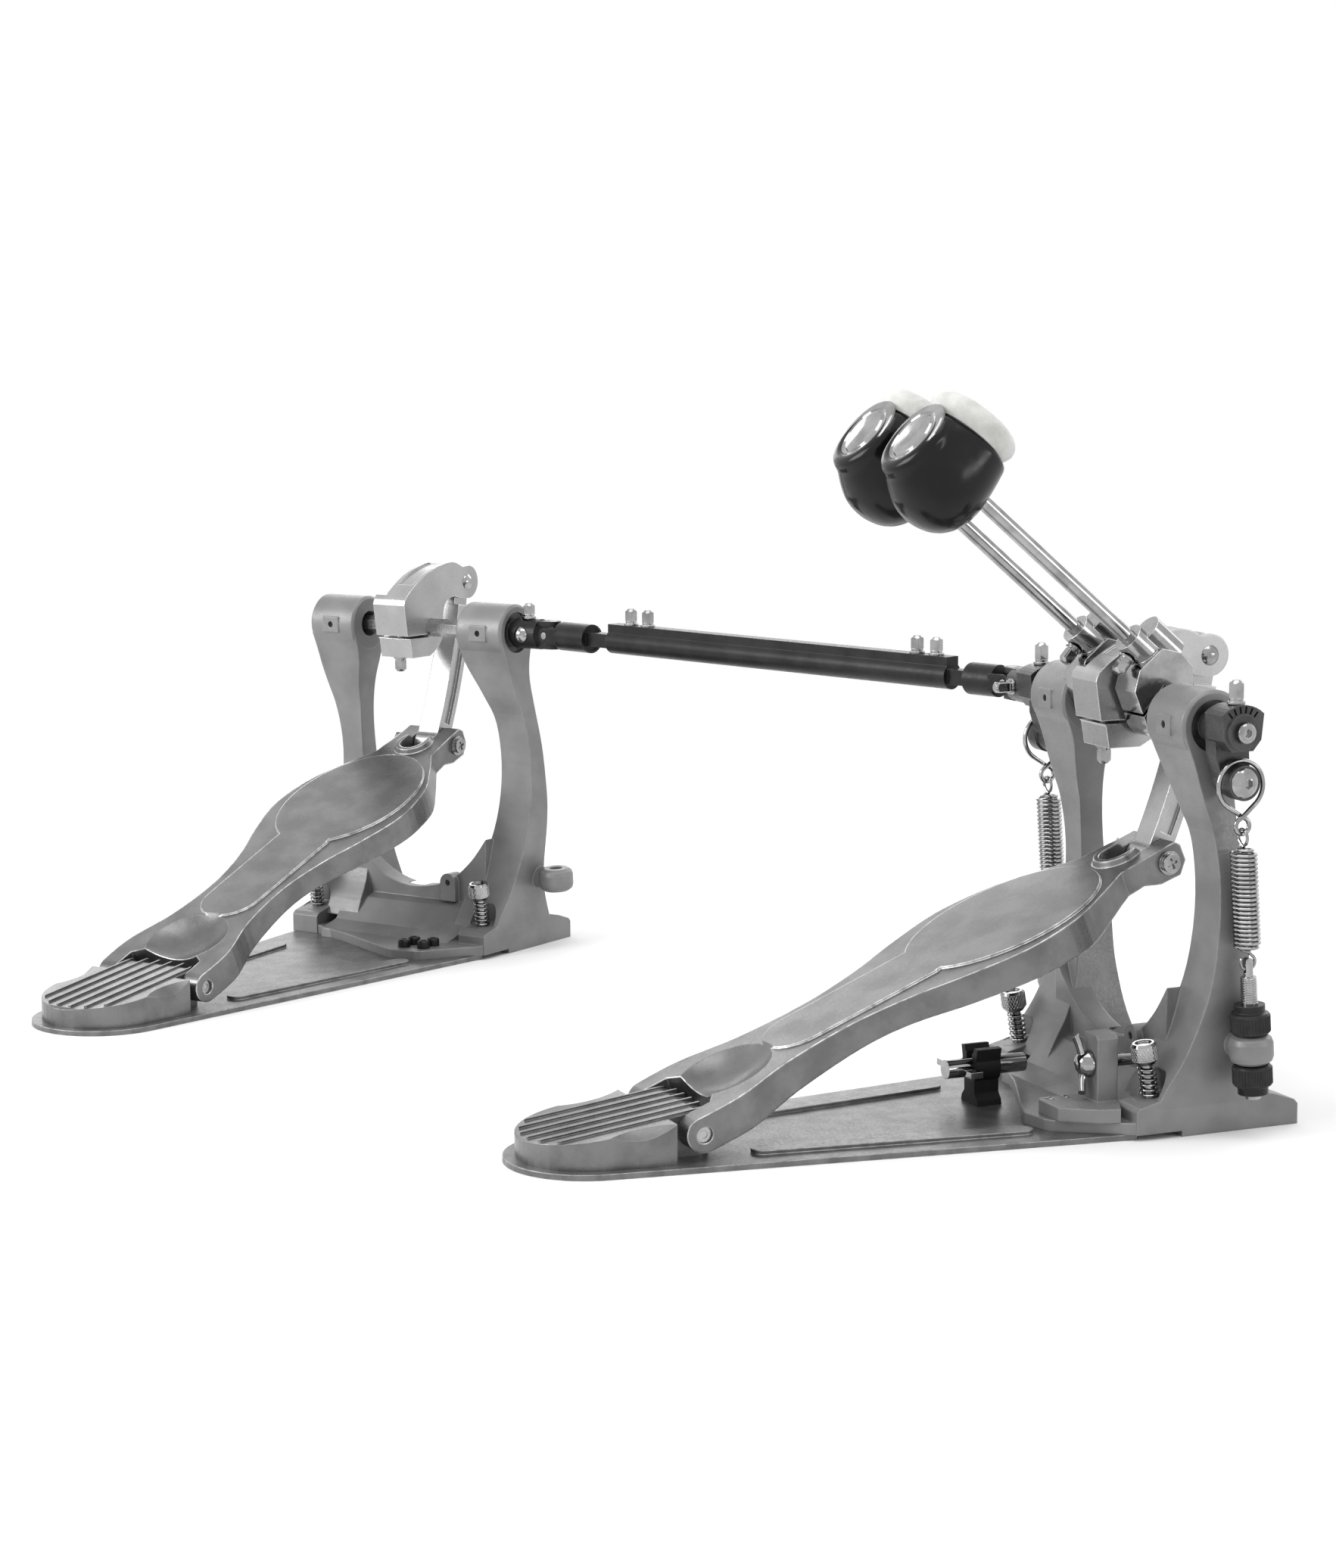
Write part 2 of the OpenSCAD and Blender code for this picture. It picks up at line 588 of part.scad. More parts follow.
// Cam: an arched arm whose two cheeks hold the link, clamped on the hexagon by a split jaw
cheek_r = 11;
function cam_top() = smooth([[-27, 16], [-25, 20.5], [-18, 26.5], [-6, 33.5], [8, 38.5],
    [24, 40.8], [pivot_y - 5, cam_reach * sin(cam_lift) + cheek_r - 0.6]], 5);
function cam_low() = smooth([[pivot_y - 8, 16.5], [25, 18], [17, 15.5], [13.5, 8], [13, -5],
    [8, -13], [-1, -18.5]], 5);
function cam_outline() = [for (q = concat(cam_top(),
    arc([pivot_y, cam_reach * sin(cam_lift)], cheek_r, 80, -80, 16),
    cam_low(), [[-19, -18.5], [-21, -7], [-24, -4]])) q + [0, shaft_height]];
module cam() {
    color("lightgray") difference() {
        union() {
            along_x(cam_left, cam_right) polygon(cam_outline());
            intersection() {
                along_x(block_left, block_right) polygon(cam_outline());
                translate([-30, -40, shaft_height - 30]) cube([60, 53, 52]);
            }
        }
        // Slot between the cheeks
        translate([-slot_half, 22, shaft_height - 30]) cube([2 * slot_half, 60, 90]);
        // Sunk window on the arch
        difference() {
            intersection() {
                along_x(cam_left + 2.6, cam_right - 2.6) polygon(cam_outline());
                translate([-20, -15, shaft_height + 20]) cube([40, 33, 40]);
            }
            translate([0, 0, -1.2]) along_x(cam_left, cam_right) polygon(cam_outline());
        }
        hex_x(block_left - 1, cam_right + 1, hex_r + 0.02);
        // Split of the clamp
        translate([block_left - 1, -40, shaft_height - 6]) cube([60, 38, 1.8]);
        translate([-6, -13.5, shaft_height - 18.5]) rotate([180, 0, 0]) bolt_hole(16);
        pin_x(-20, 20, pivot_r + 0.03, pivot_y, pivot_z);
    }
}
module cam_bolts() {
    translate([-6, -13.5, shaft_height - 18.5]) rotate([180, 0, 0]) key_bolt(16, 7);
    pin_x(cam_left, cam_right, pivot_r, pivot_y, pivot_z);
    translate([cam_right, pivot_y, pivot_z]) rotate([0, 90, 0])
        dome(5.2, 2.6);
    translate([cam_left, pivot_y, pivot_z]) rotate([0, -90, 0]) cylinder(h = 1.6, r = 4.8);
}

// Frame casting
post_rear = smooth([[-house_r + 2, shaft_height - 6], [-10.5, shaft_height - 21],
    [-6, shaft_height - 42], [-3, (shaft_height + post_waist_h) / 2 - 14],
    [-2, post_waist_h], [-4.5, 84], [-9.5, 60], [-17, 40], [-26, 25], [-31, 15]], 4);
post_front = smooth([[house_r - 2, shaft_height - 6], [12, shaft_height - 22],
    [10.2, shaft_height - 45], [12, post_waist_h], [15, 92], [15.5, 62], [19, 38], [29, 15]], 4);
right_inner = smooth([[house_in, shaft_height - 2], [house_in + 2.5, shaft_height - 20],
    [55, shaft_height - 40], [63, 146], [66, post_waist_h], [65, 96], [60.5, 72], [54, 54],
    [49.5, 38], [47, 15]], 4);
right_outer = smooth([[house_out, shaft_height - 2], [house_out + 1, shaft_height - 26],
    [83.5, 158], [88.5, 132], [90, 106], [88.5, 76], [84.5, 48], [foot_out, 15]], 4);
left_inner = smooth([[-house_in, shaft_height - 2], [-house_in - 1, shaft_height - 20],
    [-47, 165], [-49, 144], [-48.5, post_waist_h], [-46.5, 95], [-43, 72], [-38, 53],
    [-34.5, 37], [-32.5, 15]], 4);
left_outer = smooth([[-house_out, shaft_height - 2], [-house_out + 1.5, shaft_height - 26],
    [-71.5, 158], [-66.5, 134], [-65, 110], [-67, 80], [-71, 50], [-foot_out + 3, 15]], 4);
web_top = smooth([[-52, 66], [-40, 54], [-24, 43], [-4, 37], [16, 38], [34, 44], [50, 57],
    [62, 72]], 5);
module post(a, b) {
    intersection() {
        along_x(-120, 120) polygon(concat(post_rear, flip(post_front)));
        along_y(-60, 60) polygon(concat(a, flip(b)));
    }
}
module foot(x0) {
    along_x(x0, x0 + foot_w) polygon([[-42, plate_t], [-42, 14.5], [-40, 16.5], [-20, 21.5],
        [-5, 23], [20, 20.5], [38, 16.5], [49, 12.8], [51, 10.5], [51, 0], [-16, 0],
        [-16, plate_t]]);
}
module ramp(up) {
    along_x(-48 - up, 54 + up) polygon([[-49 - up, plate_t], [-48 - up, block_z + up],
        [-34 - up, 13 + up], [-21 - up, 27 + up], [-14, 30 + up], [-8, 30 + up], [-8, plate_t]]);
}
module lug(side, root_x) {
    translate([min(side * root_x, side * spring_x), 0, 0]) pin_x(0, spring_x - root_x,
        lug_r - 0.4, lug_front, lug_h);
    on_line(side) rotate_extrude() polygon([[0, -lug_r], [lug_boss_r - 3, -lug_r],
        [lug_boss_r - 0.8, -lug_r + 1.6], [lug_boss_r, -lug_r + 4], [lug_boss_r, lug_r - 4],
        [lug_boss_r - 0.8, lug_r - 1.6], [lug_boss_r - 3, lug_r], [0, lug_r]]);
}
module frame() {
    color("gray") difference() {
        union() {
            ring_x(house_in, house_out, house_r, 3, 1.5);
            ring_x(-house_out, -house_in, house_r, 3, 1.5);
            post(right_inner, right_outer);
            post(left_outer, left_inner);
            foot(foot_out - foot_w);
            foot(-foot_out + 2.6);
            // Cross wall, ramp and low rear plate
            along_y(-15, -1) polygon(concat([[60, plate_t], [-50, plate_t]], web_top));
            ramp(0);
            translate([0, 0, plate_t]) linear_extrude(rear_plate_t) polygon([[-60, -40],
                [-48, -46], [-27, -53], [30, -79], [36, -81], [52, -78.5], [56, -76], [79, -42],
                [foot_out, -30], [foot_out, -10], [-60, -10]]);
            lug(1, 82);
            lug(-1, 66);
            for (s = [-1, 1]) {
                on_spike(s) translate([0, 0, -12]) cylinder(h = 12, r = 8.4);
                // Set-screw pads of the bearings
                translate([s * 60.3 - 6.5, -house_r - 0.6, shaft_height - 5])
                    cube([13, 4, 10]);
            }
            // Ear on the cross wall
            along_y(-19, -9) union() {
                translate([33.5, 42]) circle(r = 6);
                translate([27.5, 30]) square([12, 12]);
            }
        }
        // Through hole with a bearing seat in each outer end
        pin_x(-120, 120, sleeve_r, 0, shaft_height);
        for (x = [house_out - bearing_w - 2, -house_out - 10])
            pin_x(x, x + bearing_w + 12, bearing_r, 0, shaft_height);
        for (s = [-1, 1]) {
            on_line(s) translate([0, 0, -20]) cylinder(h = 40, r = rod_thread_r + gap);
            on_spike(s) translate([0, 0, -30]) cylinder(h = 40, r = spike_r + fit);
            on_spike(s) cylinder(h = 12, r = 9.4);
            pin_y(-40, 0, 2, s * 60.3, shaft_height);
        }
        pin_y(-40, 10, 2, 33.5, 42);
        // Arch under the cross wall in front of the hoop gap
        along_y(-9, 5) polygon(concat([[-30, 0], [30, 0]], arc([0, 12], 26, 0, 180, 16)));
    }
}
module bearings() {
    color("dimgray") for (x = [house_out - bearing_w - 1.5, -house_out + 1.5])
        translate([x, 0, shaft_height]) rotate([0, 90, 0]) rotate_extrude() polygon([
            [journal_r + fit, 0], [8, 0], [8, 0.6], [11, 0.6], [11, 0], [bearing_r, 0],
            [bearing_r, bearing_w], [11, bearing_w], [11, bearing_w - 0.6],
            [8, bearing_w - 0.6], [8, bearing_w], [journal_r + fit, bearing_w]]);
}

// Shafts
module right_shaft() {
    color("silver") {
        pin_x(block_left - 10.5, block_left, pilot_r, 0, shaft_height);
        hex_x(block_left - 0.5, house_in - gap, hex_r);
        pin_x(house_in - gap, house_out + 1, journal_r, 0, shaft_height);
        pin_x(house_out + 1, 104, journal_r - 1, 0, shaft_height);
    }
}
module left_shaft() {
    color("silver") difference() {
        union() {
            hex_x(-house_in + gap, block_left - 1.2, hex_r);
            pin_x(-house_out - 1, -house_in + gap, journal_r, 0, shaft_height);
            pin_x(-104, -house_out - 1, journal_r - 1, 0, shaft_height);
        }
        pin_x(block_left - 11.2, block_left, pilot_r + fit, 0, shaft_height);
    }
}
module remote_shaft() {
    color("silver") {
        pin_x(-house_out + 1, -house_in + gap, journal_r, 0, shaft_height);
        hex_x(-house_in + gap, house_in - gap, hex_r);
        pin_x(house_in - gap, house_out + 1, journal_r, 0, shaft_height);
        pin_x(house_out + 1, remote_joint_x - 11, journal_r - 1, 0, shaft_height);
    }
}

// Beater hub: a split block on the hexagon with a barrel for the rod
module hub(x, w, collar) {
    color("silver") difference() {
        union() {
            on_beater(x) {
                along_x(-w / 2, w / 2) polygon(concat(
                    arc([0, 0], 12, 140, 290, 12),
                    [[14, -9], [rod_offset + 9, 4], [rod_offset + 10, 14],
                    [rod_offset + 5, 24], [8, 27], [-2, 22]]));
                translate([0, rod_offset, 12]) cylinder(h = 26.5, r = 8);
                translate([0, rod_offset + 9.5, 13]) cylinder(h = 20, r = 8);
            }
            if (collar) ring_x(x + w / 2 - e, house_in - gap, 9.5, 3, 1);
        }
        hex_x(x - w / 2 - 1, house_in + 1, hex_r + 0.02);
        on_beater(x) {
            translate([0, rod_offset, -20]) cylinder(h = 80, r = rod_d / 2 + fit);
            // Clamping slit
            translate([-w, -30, 9.5]) cube([2 * w, rod_offset + 22, 1.6]);
            translate([0, rod_offset - 8.2, 31.8]) rotate([90, 0, 0]) bolt_hole(4);
        }
    }
}
module hub_bolts(x) {
    on_beater(x) {
        translate([0, rod_offset - 8.2, 31.8]) rotate([90, 0, 0]) key_bolt(3.6, 7);
    }
}

// Rocker that pulls the spring: hub, fan-shaped block, arm and roller
module rocker(side) {
    s = side;
    color("dimgray") difference() {
        union() {
            translate([s > 0 ? house_out + 1.3 : -94, 0, 0])
                pin_x(0, 94 - house_out - 1.3, rocker_hub_r, 0, shaft_height);
            along_x(s > 0 ? 88 : -104, s > 0 ? 104 : -88) translate([0, shaft_height]) polygon(
                concat([[6, -9.4], [10.5, -4]], arc([0, -4], rocker_top + 4, 47, 133, 10),
                [[-10.5, -4], [-6, -9.4]]));
            translate([s > 0 ? 103.5 : -105.2, 0, 0]) pin_x(0, 1.7, 8.8, 0, shaft_height);
            along_x(s > 0 ? 85 : -94, s > 0 ? 94 : -85) translate([0, shaft_height]) polygon(
                concat([[-9.8, 4], [-9, -12]],
                arc([roller_y, -rocker_reach], roller_r - 0.8, 170, 370, 16), [[10, -12], [9.8, 4]]));
            translate([s > 0 ? 93.5 : -102, 0, 0]) pin_x(0, 8.5, roller_r, roller_y, roller_z);
            if (s < 0) pin_x(-main_joint_x + 9, -103, barrel_r + 0.6, 0, shaft_height);
            if (s < 0) yoke_prongs(-main_joint_x, -1);
        }
        pin_x(s > 0 ? 70 : -106, s > 0 ? 106 : -70, journal_r - 1, 0, shaft_height);
        translate([s * 97.5, 0, shaft_height + rocker_top]) bolt_hole(rocker_top - 3.6);
        if (s < 0) yoke_bores(-main_joint_x);
        if (s < 0) translate([-113, -yoke_seat, shaft_height]) rotate([90, 0, 0])
            bolt_hole(5);
        pin_x(s > 0 ? 96 : -120, s > 0 ? 120 : -96, 2.6, roller_y, roller_z);
    }
}
module rocker_bolts(side) {
    s = side;
    translate([s * 97.5, 0, shaft_height + rocker_top]) key_bolt(rocker_top - 4.4, 9);
    // Button-head roller screw
    translate([s * 102, roller_y, roller_z]) rotate([0, s * 90, 0]) difference() {
        union() {
            translate([0, 0, -5.8]) cylinder(h = 6, r = 2.5);
            dome(7.6, 3.6);
        }
        translate([0, 0, 1.4]) cylinder(h = 5, r = 2.6, $fn = 6);
    }
}

// Teardrop of wire that hangs on the roller and carries the spring
drop_lean = acos((drop_loop_r + drop_end_r) / drop_reach);
drop_side = drop_wire / 2 + 0.2;
function lay(points, x0, x1) = [for (i = [0:len(points) - 1])
    [x0 + (x1 - x0) * i / (len(points) - 1), points[i][0], points[i][1]]];
function drop_path() = concat(
    lay(arc([0, drop_loop_c], drop_loop_r, drop_lean - 90, 270 - drop_lean, 26), 0.6, -0.6),
    [[-drop_side, 0, drop_loop_c - drop_loop_r / cos(drop_lean)]],
    lay(arc([0, drop_end_c], drop_end_r, 90 - drop_lean, -270 + drop_lean, 12), -0.6, 0.6),
    [[drop_side, 0, drop_loop_c - drop_loop_r / cos(drop_lean)]]);
module teardrop(side) {
    color("silver") on_line(side) wire(drop_path(), drop_wire / 2, 8, [1, 0, 0], true);
}

// Return spring: lower hook, coil and upper hook in one wire
function spring_path() = concat(
    [for (a = [150:30:390]) [0, hook_r * cos(a), hook_low + hook_r * sin(a)]],
    [[0, 1.6, coil_start - 1.2]],
    [for (i = [0:8 * spring_curls]) let (g = min(1, (i + 1) / 3, (8 * spring_curls - i + 1) / 3))
        [coil_r * g * sin(45 * i), coil_r * g * cos(45 * i),
        coil_start + coil_len * i / 8 / spring_curls]],
    [[-1.6, 0, coil_start + coil_len + 1.2]],
    [for (a = [210:-30:-60]) [hook_r * cos(a), 0, hook_top - hook_r + hook_r * sin(a)]]);
module return_spring(side) {
    color("silver") on_line(side) wire(spring_path(), spring_wire / 2, 6, [1, 0, 0]);
}
function turn_gap(p, w, k) = min([for (i = [0:len(p) - 1 - k]) norm(p[i + k] - p[i])]) - w;
coil_pts = [for (q = spring_path()) if (norm([q[0], q[1]]) > coil_r - 0.1) q];
echo(return_spring_gap = turn_gap(coil_pts, spring_wire, 8));

module tension_rods() {
    color("silver") for (s = [-1, 1]) on_line(s) difference() {
        union() {
            translate([0, 0, -lug_r - knob_h - 3]) cylinder(h = lug_r + knob_h + 3 + rod_top - 7,
                r = rod_thread_r);
            cylinder(h = rod_top, r = 2.4);
            pin_x(-1.7, 1.7, 2.2, 0, hook_low);
        }
        // Eye for the spring's lower hook
        translate([-1.2, -5, hook_low - hook_r - 1.3]) cube([2.4, 10, 3.5]);
    }
}
// Knurled knobs above and below the lug
module knob() {
    rotate_extrude() polygon([[rod_thread_r + fit, 0], [knob_r - 1.5, 0], [knob_r - 0.7, 0.8],
        [knob_r - 0.7, knob_h - 4.4], [knob_r - 2.4, knob_h - 3.6], [knob_r - 2.4, knob_h],
        [rod_thread_r + fit, knob_h]]);
    translate([0, 0, 1.4]) linear_extrude(knob_h - 6.6) difference() {
        polygon([for (i = [0:71]) (knob_r - (i % 2) * 0.6) * [cos(5 * i), sin(5 * i)]]);
        circle(r = knob_r - 3);
    }
}
module tension_knobs(side) {
    color("black") on_line(side) {
        translate([0, 0, lug_r + knob_gap]) knob();
        translate([0, 0, -lug_r - knob_gap]) mirror([0, 0, 1]) knob();
    }
}

// Beater parts, drawn along the rod
head_mid = head_start + head_len / 2;
seam = 19;
module beater_form() {
    hull() {
        translate([0, 0, head_mid - 2]) rotate([-90, 0, 0]) rotate_extrude($fn = 60)
            polygon([[0, -33], [6, -32.6], [12, -30.8], [17, -27.4], [20.8, -22.4],
            [23.1, -16], [head_r, -9], [head_r, seam + 1], [0, seam + 1]]);
        translate([0, 0, head_start + head_len - 1]) cylinder(h = 1, r = cap_r + 1.5,
            $fn = 60);
    }
}
module beater_head(x) {
    color([0.07, 0.07, 0.08]) on_beater(x) translate([0, rod_offset, 0]) difference() {
        intersection() {
            beater_form();
            translate([-60, -80, head_start]) cube([120, 80 + seam, head_len]);
        }
        cylinder(h = 400, r = rod_d / 2, $fn = 32);
        translate([0, 0, head_start + head_len - 1.2]) cylinder(h = 4, r = cap_r, $fn = 48);
    }
}
module beater_felt(x) {
    color("ivory") on_beater(x) translate([0, rod_offset + seam, head_mid - 1.2])
        rotate([-90, 0, 0]) rotate_extrude($fn = 64) polygon(concat(
        [[0, 0], [head_r - 0.3, 0], [head_r, 1]],
        [for (a = [0:15:90]) [head_r - 6 + 6 * cos(a), felt_t - 3.4 + 3 * sin(a)]],
        [[0, felt_t + 0.6]]));
}
module beater_rod(x) {
    color("silver") on_beater(x) translate([0, rod_offset, 0]) {
        cylinder(h = head_start + head_len - 1.2, r = rod_d / 2);
        translate([0, 0, head_start + head_len - 1.2]) rotate_extrude(convexity = 4) polygon([
            [0, 0], [cap_r, 0], [cap_r, 1.2], [cap_r - 0.8, 1.8], [cap_r - 5, 1.8],
            [cap_r - 6, 1.2], [cap_r - 7, 1.2], [cap_r - 8, 2.2], [0, 2.8]]);
    }
}

// Universal joints
module yoke_prongs(jx, dir) {
    for (s = [-1, 1]) {
        translate([min(jx, jx - dir * 11), -prong_half, shaft_height + (s > 0 ? prong_in :
            -prong_out)]) cube([11, 2 * prong_half, prong_out - prong_in]);
        translate([jx, 0, shaft_height + (s > 0 ? prong_in : -prong_out)])
            cylinder(h = prong_out - prong_in, r = prong_half);
    }
}
module yoke_bores(jx) {
    translate([jx, 0, shaft_height - 20]) cylinder(h = 40, r = cross_r + fit);
}
module remote_yoke() {
    color("black") difference() {
        union() {
            pin_x(house_out + 1.3, remote_joint_x - 9, barrel_r + 0.6, 0, shaft_height);
            yoke_prongs(remote_joint_x, 1);
        }
        pin_x(60, remote_joint_x - 11, journal_r - 1, 0, shaft_height);
        yoke_bores(remote_joint_x);
        translate([88, 0, shaft_height + yoke_seat]) bolt_hole(4.6);
        translate([88, -yoke_seat, shaft_height]) rotate([90, 0, 0]) bolt_hole(4.6);
    }
}
module cross_piece() {
    rotate([0, 0, 0]) {
        translate([-4.1, -4.1, -4.1]) cube(8.2);
        translate([0, 0, -prong_out]) cylinder(h = 2 * prong_out, r = cross_r);
        pin_y(-prong_out, prong_out, cross_r);
    }
}
module barrel(l) {
    difference() {
        union() {
            pin_x(prong_half + 4.4, l, barrel_r);
            for (s = [-1, 1]) {
                translate([0, s > 0 ? prong_in : -prong_out, -prong_half])
                    cube([prong_half + 6, prong_out - prong_in, 2 * prong_half]);
                pin_y(s > 0 ? prong_in : -prong_out, s > 0 ? prong_out : -prong_in, prong_half);
            }
        }
        pin_y(-20, 20, cross_r + fit + 0.4);
        pin_x(l - 1, l + 1, barrel_r - 1.5);
    }
}
module square_bar(x0, x1) {
    translate([x0, -bar_w / 2, -bar_w / 2]) cube([x1 - x0, bar_w, bar_w]);
}
module driveshaft_tube() {
    color([0.1, 0.1, 0.11]) on_drive() {
        difference() {
            along_x(tube_start, drive_len - tube_stop) union() {
                circle(r = tube_r);
                translate([-4.8, 0]) square([9.6, tube_r + 3.5]);
            }
            translate([tube_start + 98, -bar_w / 2 - 0.2, -bar_w / 2 - 0.2])
                cube([drive_len, bar_w + 0.4, bar_w + 0.4]);
            for (x = drive_bolt_x) translate([x, 0, tube_r + 3.5]) bolt_hole(3.4);
        }
        barrel(29.5);
        square_bar(28, tube_start + 1);
    }
}
drive_bolt_x = [tube_start + 12, tube_start + 26.5, drive_len - tube_stop - 31,
    drive_len - tube_stop - 16];
module driveshaft_bolts() {
    color("silver") on_drive() for (x = drive_bolt_x) translate([x, 0, tube_r + 3.5])
        key_bolt(3.4, 7.5);
}
module driveshaft_remote_rod() {
    color([0.1, 0.1, 0.11]) on_drive() {
        translate([drive_len, 0, 0]) mirror([1, 0, 0]) barrel(36);
        square_bar(drive_len - tube_stop - 100, drive_len - 34);
    }
}

// Floor spike with its knurled head, and its spring
module spike(side) {
    color("silver") on_spike(side) {
        translate([0, 0, -spike_seat_h / cos(spike_lean) + 1.2]) cylinder(h = 4, r1 = 0.6,
            r2 = spike_r);
        translate([0, 0, -spike_seat_h / cos(spike_lean) + 5.2]) cylinder(
            h = spike_seat_h / cos(spike_lean) - 5.2 + spike_head_z, r = spike_r);
        translate([0, 0, spike_head_z]) difference() {
            rotate_extrude() polygon([[0, 0], [spike_head_r - 1.8, 0], [spike_head_r, 2.2],
                [spike_head_r, spike_head_h - 1.4], [spike_head_r - 1, spike_head_h],
                [0, spike_head_h]]);
            translate([0, 0, spike_head_h - 1]) cylinder(h = 2, r = spike_head_r - 2.2);
        }
    }
}
spike_coil_r = (spike_spring_d - spike_wire) / 2;
function spike_path() = [for (i = [0:8 * spike_curls]) [spike_coil_r * cos(45 * i),
    spike_coil_r * sin(45 * i),
    spike_wire / 2 + gap / 2 + (spike_spring_len - spike_wire) * i / 8 / spike_curls]];
module spike_spring(side) {
    color("silver") on_spike(side) wire(spike_path(), spike_wire / 2, 6, [1, 0, 0]);
}
echo(spike_spring_gap = turn_gap(spike_path(), spike_wire, 8));

// Hoop clamp: a block with the wing bolt at the side, and the jaw over the tongue
block_z = plate_t + rear_plate_t;
block_y = -52;
module hoop_clamp_block() {
    color("darkgray") difference() {
        union() {
            translate([0, 0, block_z]) linear_extrude(7) polygon([[37, -73], [40, -75],
                [60, -75], [72, -58], [75, -48], [60, -40.5], [46, -40.5], [37, -48]]);
            along_y(block_y, -40.5) polygon([[45, block_z], [45, 50], [56, 50], [58.5, 48],
                [58.5, block_z]]);
        }
        ramp(0.1);
        translate([foot_out - foot_w - 0.1, -42.2, 0]) cube([40, 20, 60]);
        pin_y(-80, -30, spike_r + fit, wing_x, wing_h);
        for (p = [[41, -69], [41, -60]]) translate([p[0], p[1], block_z + 5])
            cylinder(h = 5, r = 2.4);
    }
}
module wing_bolt() {
    color("silver") {
        pin_y(block_y - gap - 3, -24, spike_r, wing_x, wing_h);
        translate([wing_x, block_y - gap, wing_h]) rotate([90, 0, 0]) {
            cylinder(h = 2, r = 7);
            rotate_extrude() polygon(concat([[0, 0], [7, 0]], arc([0, 1], 7, 0, 90, 10)));
        }
        along_y(block_y - gap - 6, block_y - gap - 2.6) translate([wing_x, wing_h]) rotate(12)
            for (s = [0, 180]) rotate(s) translate([wing_reach / 2 + 1, 0])
            polygon(stadium(wing_reach - 2, 7.5));
    }
}
jaw_pin_y = 4;
jaw_pin_z = plate_t + hoop_gap + 6;
module hoop_jaw() {
    color("darkgray") difference() {
        along_x(-jaw_half, jaw_half) polygon(concat(
            arc([jaw_pin_y, jaw_pin_z], 4.6, 90, 270, 10),
            [[jaw_pin_y + 6, plate_t + hoop_gap + 2.6], [tongue_reach - 9,
            plate_t + hoop_gap + 1], [tongue_reach - 7, plate_t + hoop_gap],
            [tongue_reach + 1, plate_t + hoop_gap], [tongue_reach + 2, plate_t + hoop_gap + 2],
            [tongue_reach - 3, plate_t + hoop_gap + 8]]));
        pin_x(-60, 60, 2.3 + fit, jaw_pin_y, jaw_pin_z);
    }
}
module jaw_mount() {
    color("gray") {
        for (s = [-1, 1]) along_x(s > 0 ? jaw_half + gap : -jaw_half - gap - 5,
            s > 0 ? jaw_half + gap + 5 : -jaw_half - gap) polygon(concat(
            [[-3, plate_t], [-3, jaw_pin_z + 4.6]],
            arc([jaw_pin_y, jaw_pin_z], 5, 90, -60, 8), [[jaw_pin_y + 8, plate_t]]));
        pin_x(-jaw_half - gap - 1, jaw_half + gap + 1, 2.3, jaw_pin_y, jaw_pin_z);
    }
}

// Drum key and the clip that stores it
key_y = -100;
module drum_key() {
    color("silver") translate([-key_left, key_y, key_h]) {
        difference() {
            union() {
                pin_y(0, 45, key_r);
                translate([-19, 5, -1.6]) intersection() {
                    cube([38, 7, 3.2]);
                    translate([19, 3.5, -1]) cylinder(h = 6, r = 19.5);
                }
            }
            translate([-2.9, 36, -2.9]) cube([5.8, 10, 5.8]);
        }
    }
}
module key_clip() {
    color([0.06, 0.06, 0.07]) difference() {
        along_y(key_y + 14, key_y + 28) union() {
            translate([-key_left, key_h]) circle(r = key_r + 3.4);
            translate([-key_left, 0]) polygon([[-9, plate_t], [9, plate_t], [8.4, plate_t + 3],
                [5.6, plate_t + 6], [5.6, key_h], [-5.6, key_h], [-5.6, plate_t + 6],
                [-8.4, plate_t + 3]]);
            for (s = [-1, 1]) translate([-key_left, key_h]) polygon([[s * 3, 5],
                [s * 7.5, 4], [s * 8.8, 10.4], [s * 5.4, 10.8]]);
        }
        pin_y(key_y, key_y + 60, key_r + fit, -key_left, key_h);
        translate([-key_left - 3, key_y, key_h]) cube([6, 60, 20]);
    }
}

base_plate();  // main_base_plate
heel_plate();  // main_heel_plate
hinge_pin();  // main_hinge_pin
union() { frame(); jaw_mount(); }  // main_frame
bearings();  // main_bearings
tension_rods();
hoop_clamp_block();
key_clip();
return_spring(1);  // right_return_spring
return_spring(-1);  // left_return_spring
spike_spring(1);  // main_right_spike_spring
spike_spring(-1);  // main_left_spike_spring
at_remote() base_plate();  // remote_base_plate
at_remote() heel_plate();  // remote_heel_plate
at_remote() hinge_pin();  // remote_hinge_pin
at_remote() frame();  // remote_frame
at_remote() bearings();  // remote_bearings
at_remote() spike_spring(1);  // remote_right_spike_spring
at_remote() spike_spring(-1);  // remote_left_spike_spring
footboard();  // main_footboard
toe_screw();  // main_toe_screw
link_arm();  // main_link_arm
right_shaft();
cam();  // main_cam
color("silver") {  // right_shaft_bolts
    cam_bolts();
    hub_bolts(right_beater_x);
    rocker_bolts(1);
}
hub(right_beater_x, 20, true);  // right_hub
rocker(1);  // right_rocker
teardrop(1);  // right_teardrop
beater_rod(right_beater_x);  // right_beater_rod
beater_head(right_beater_x);  // right_beater_head
beater_felt(right_beater_x);  // right_beater_felt
left_shaft();
hub(-left_beater_x, 18, false);  // left_hub
color("silver") {  // left_shaft_bolts
    hub_bolts(-left_beater_x);
    rocker_bolts(-1);
    translate([-113, -yoke_seat, shaft_height]) rotate([90, 0, 0]) key_bolt(5, 8);
}
rocker(-1);  // left_rocker
teardrop(-1);  // left_teardrop
beater_rod(-left_beater_x);  // left_beater_rod
beater_head(-left_beater_x);  // left_beater_head
beater_felt(-left_beater_x);  // left_beater_felt
driveshaft_tube();
driveshaft_bolts();
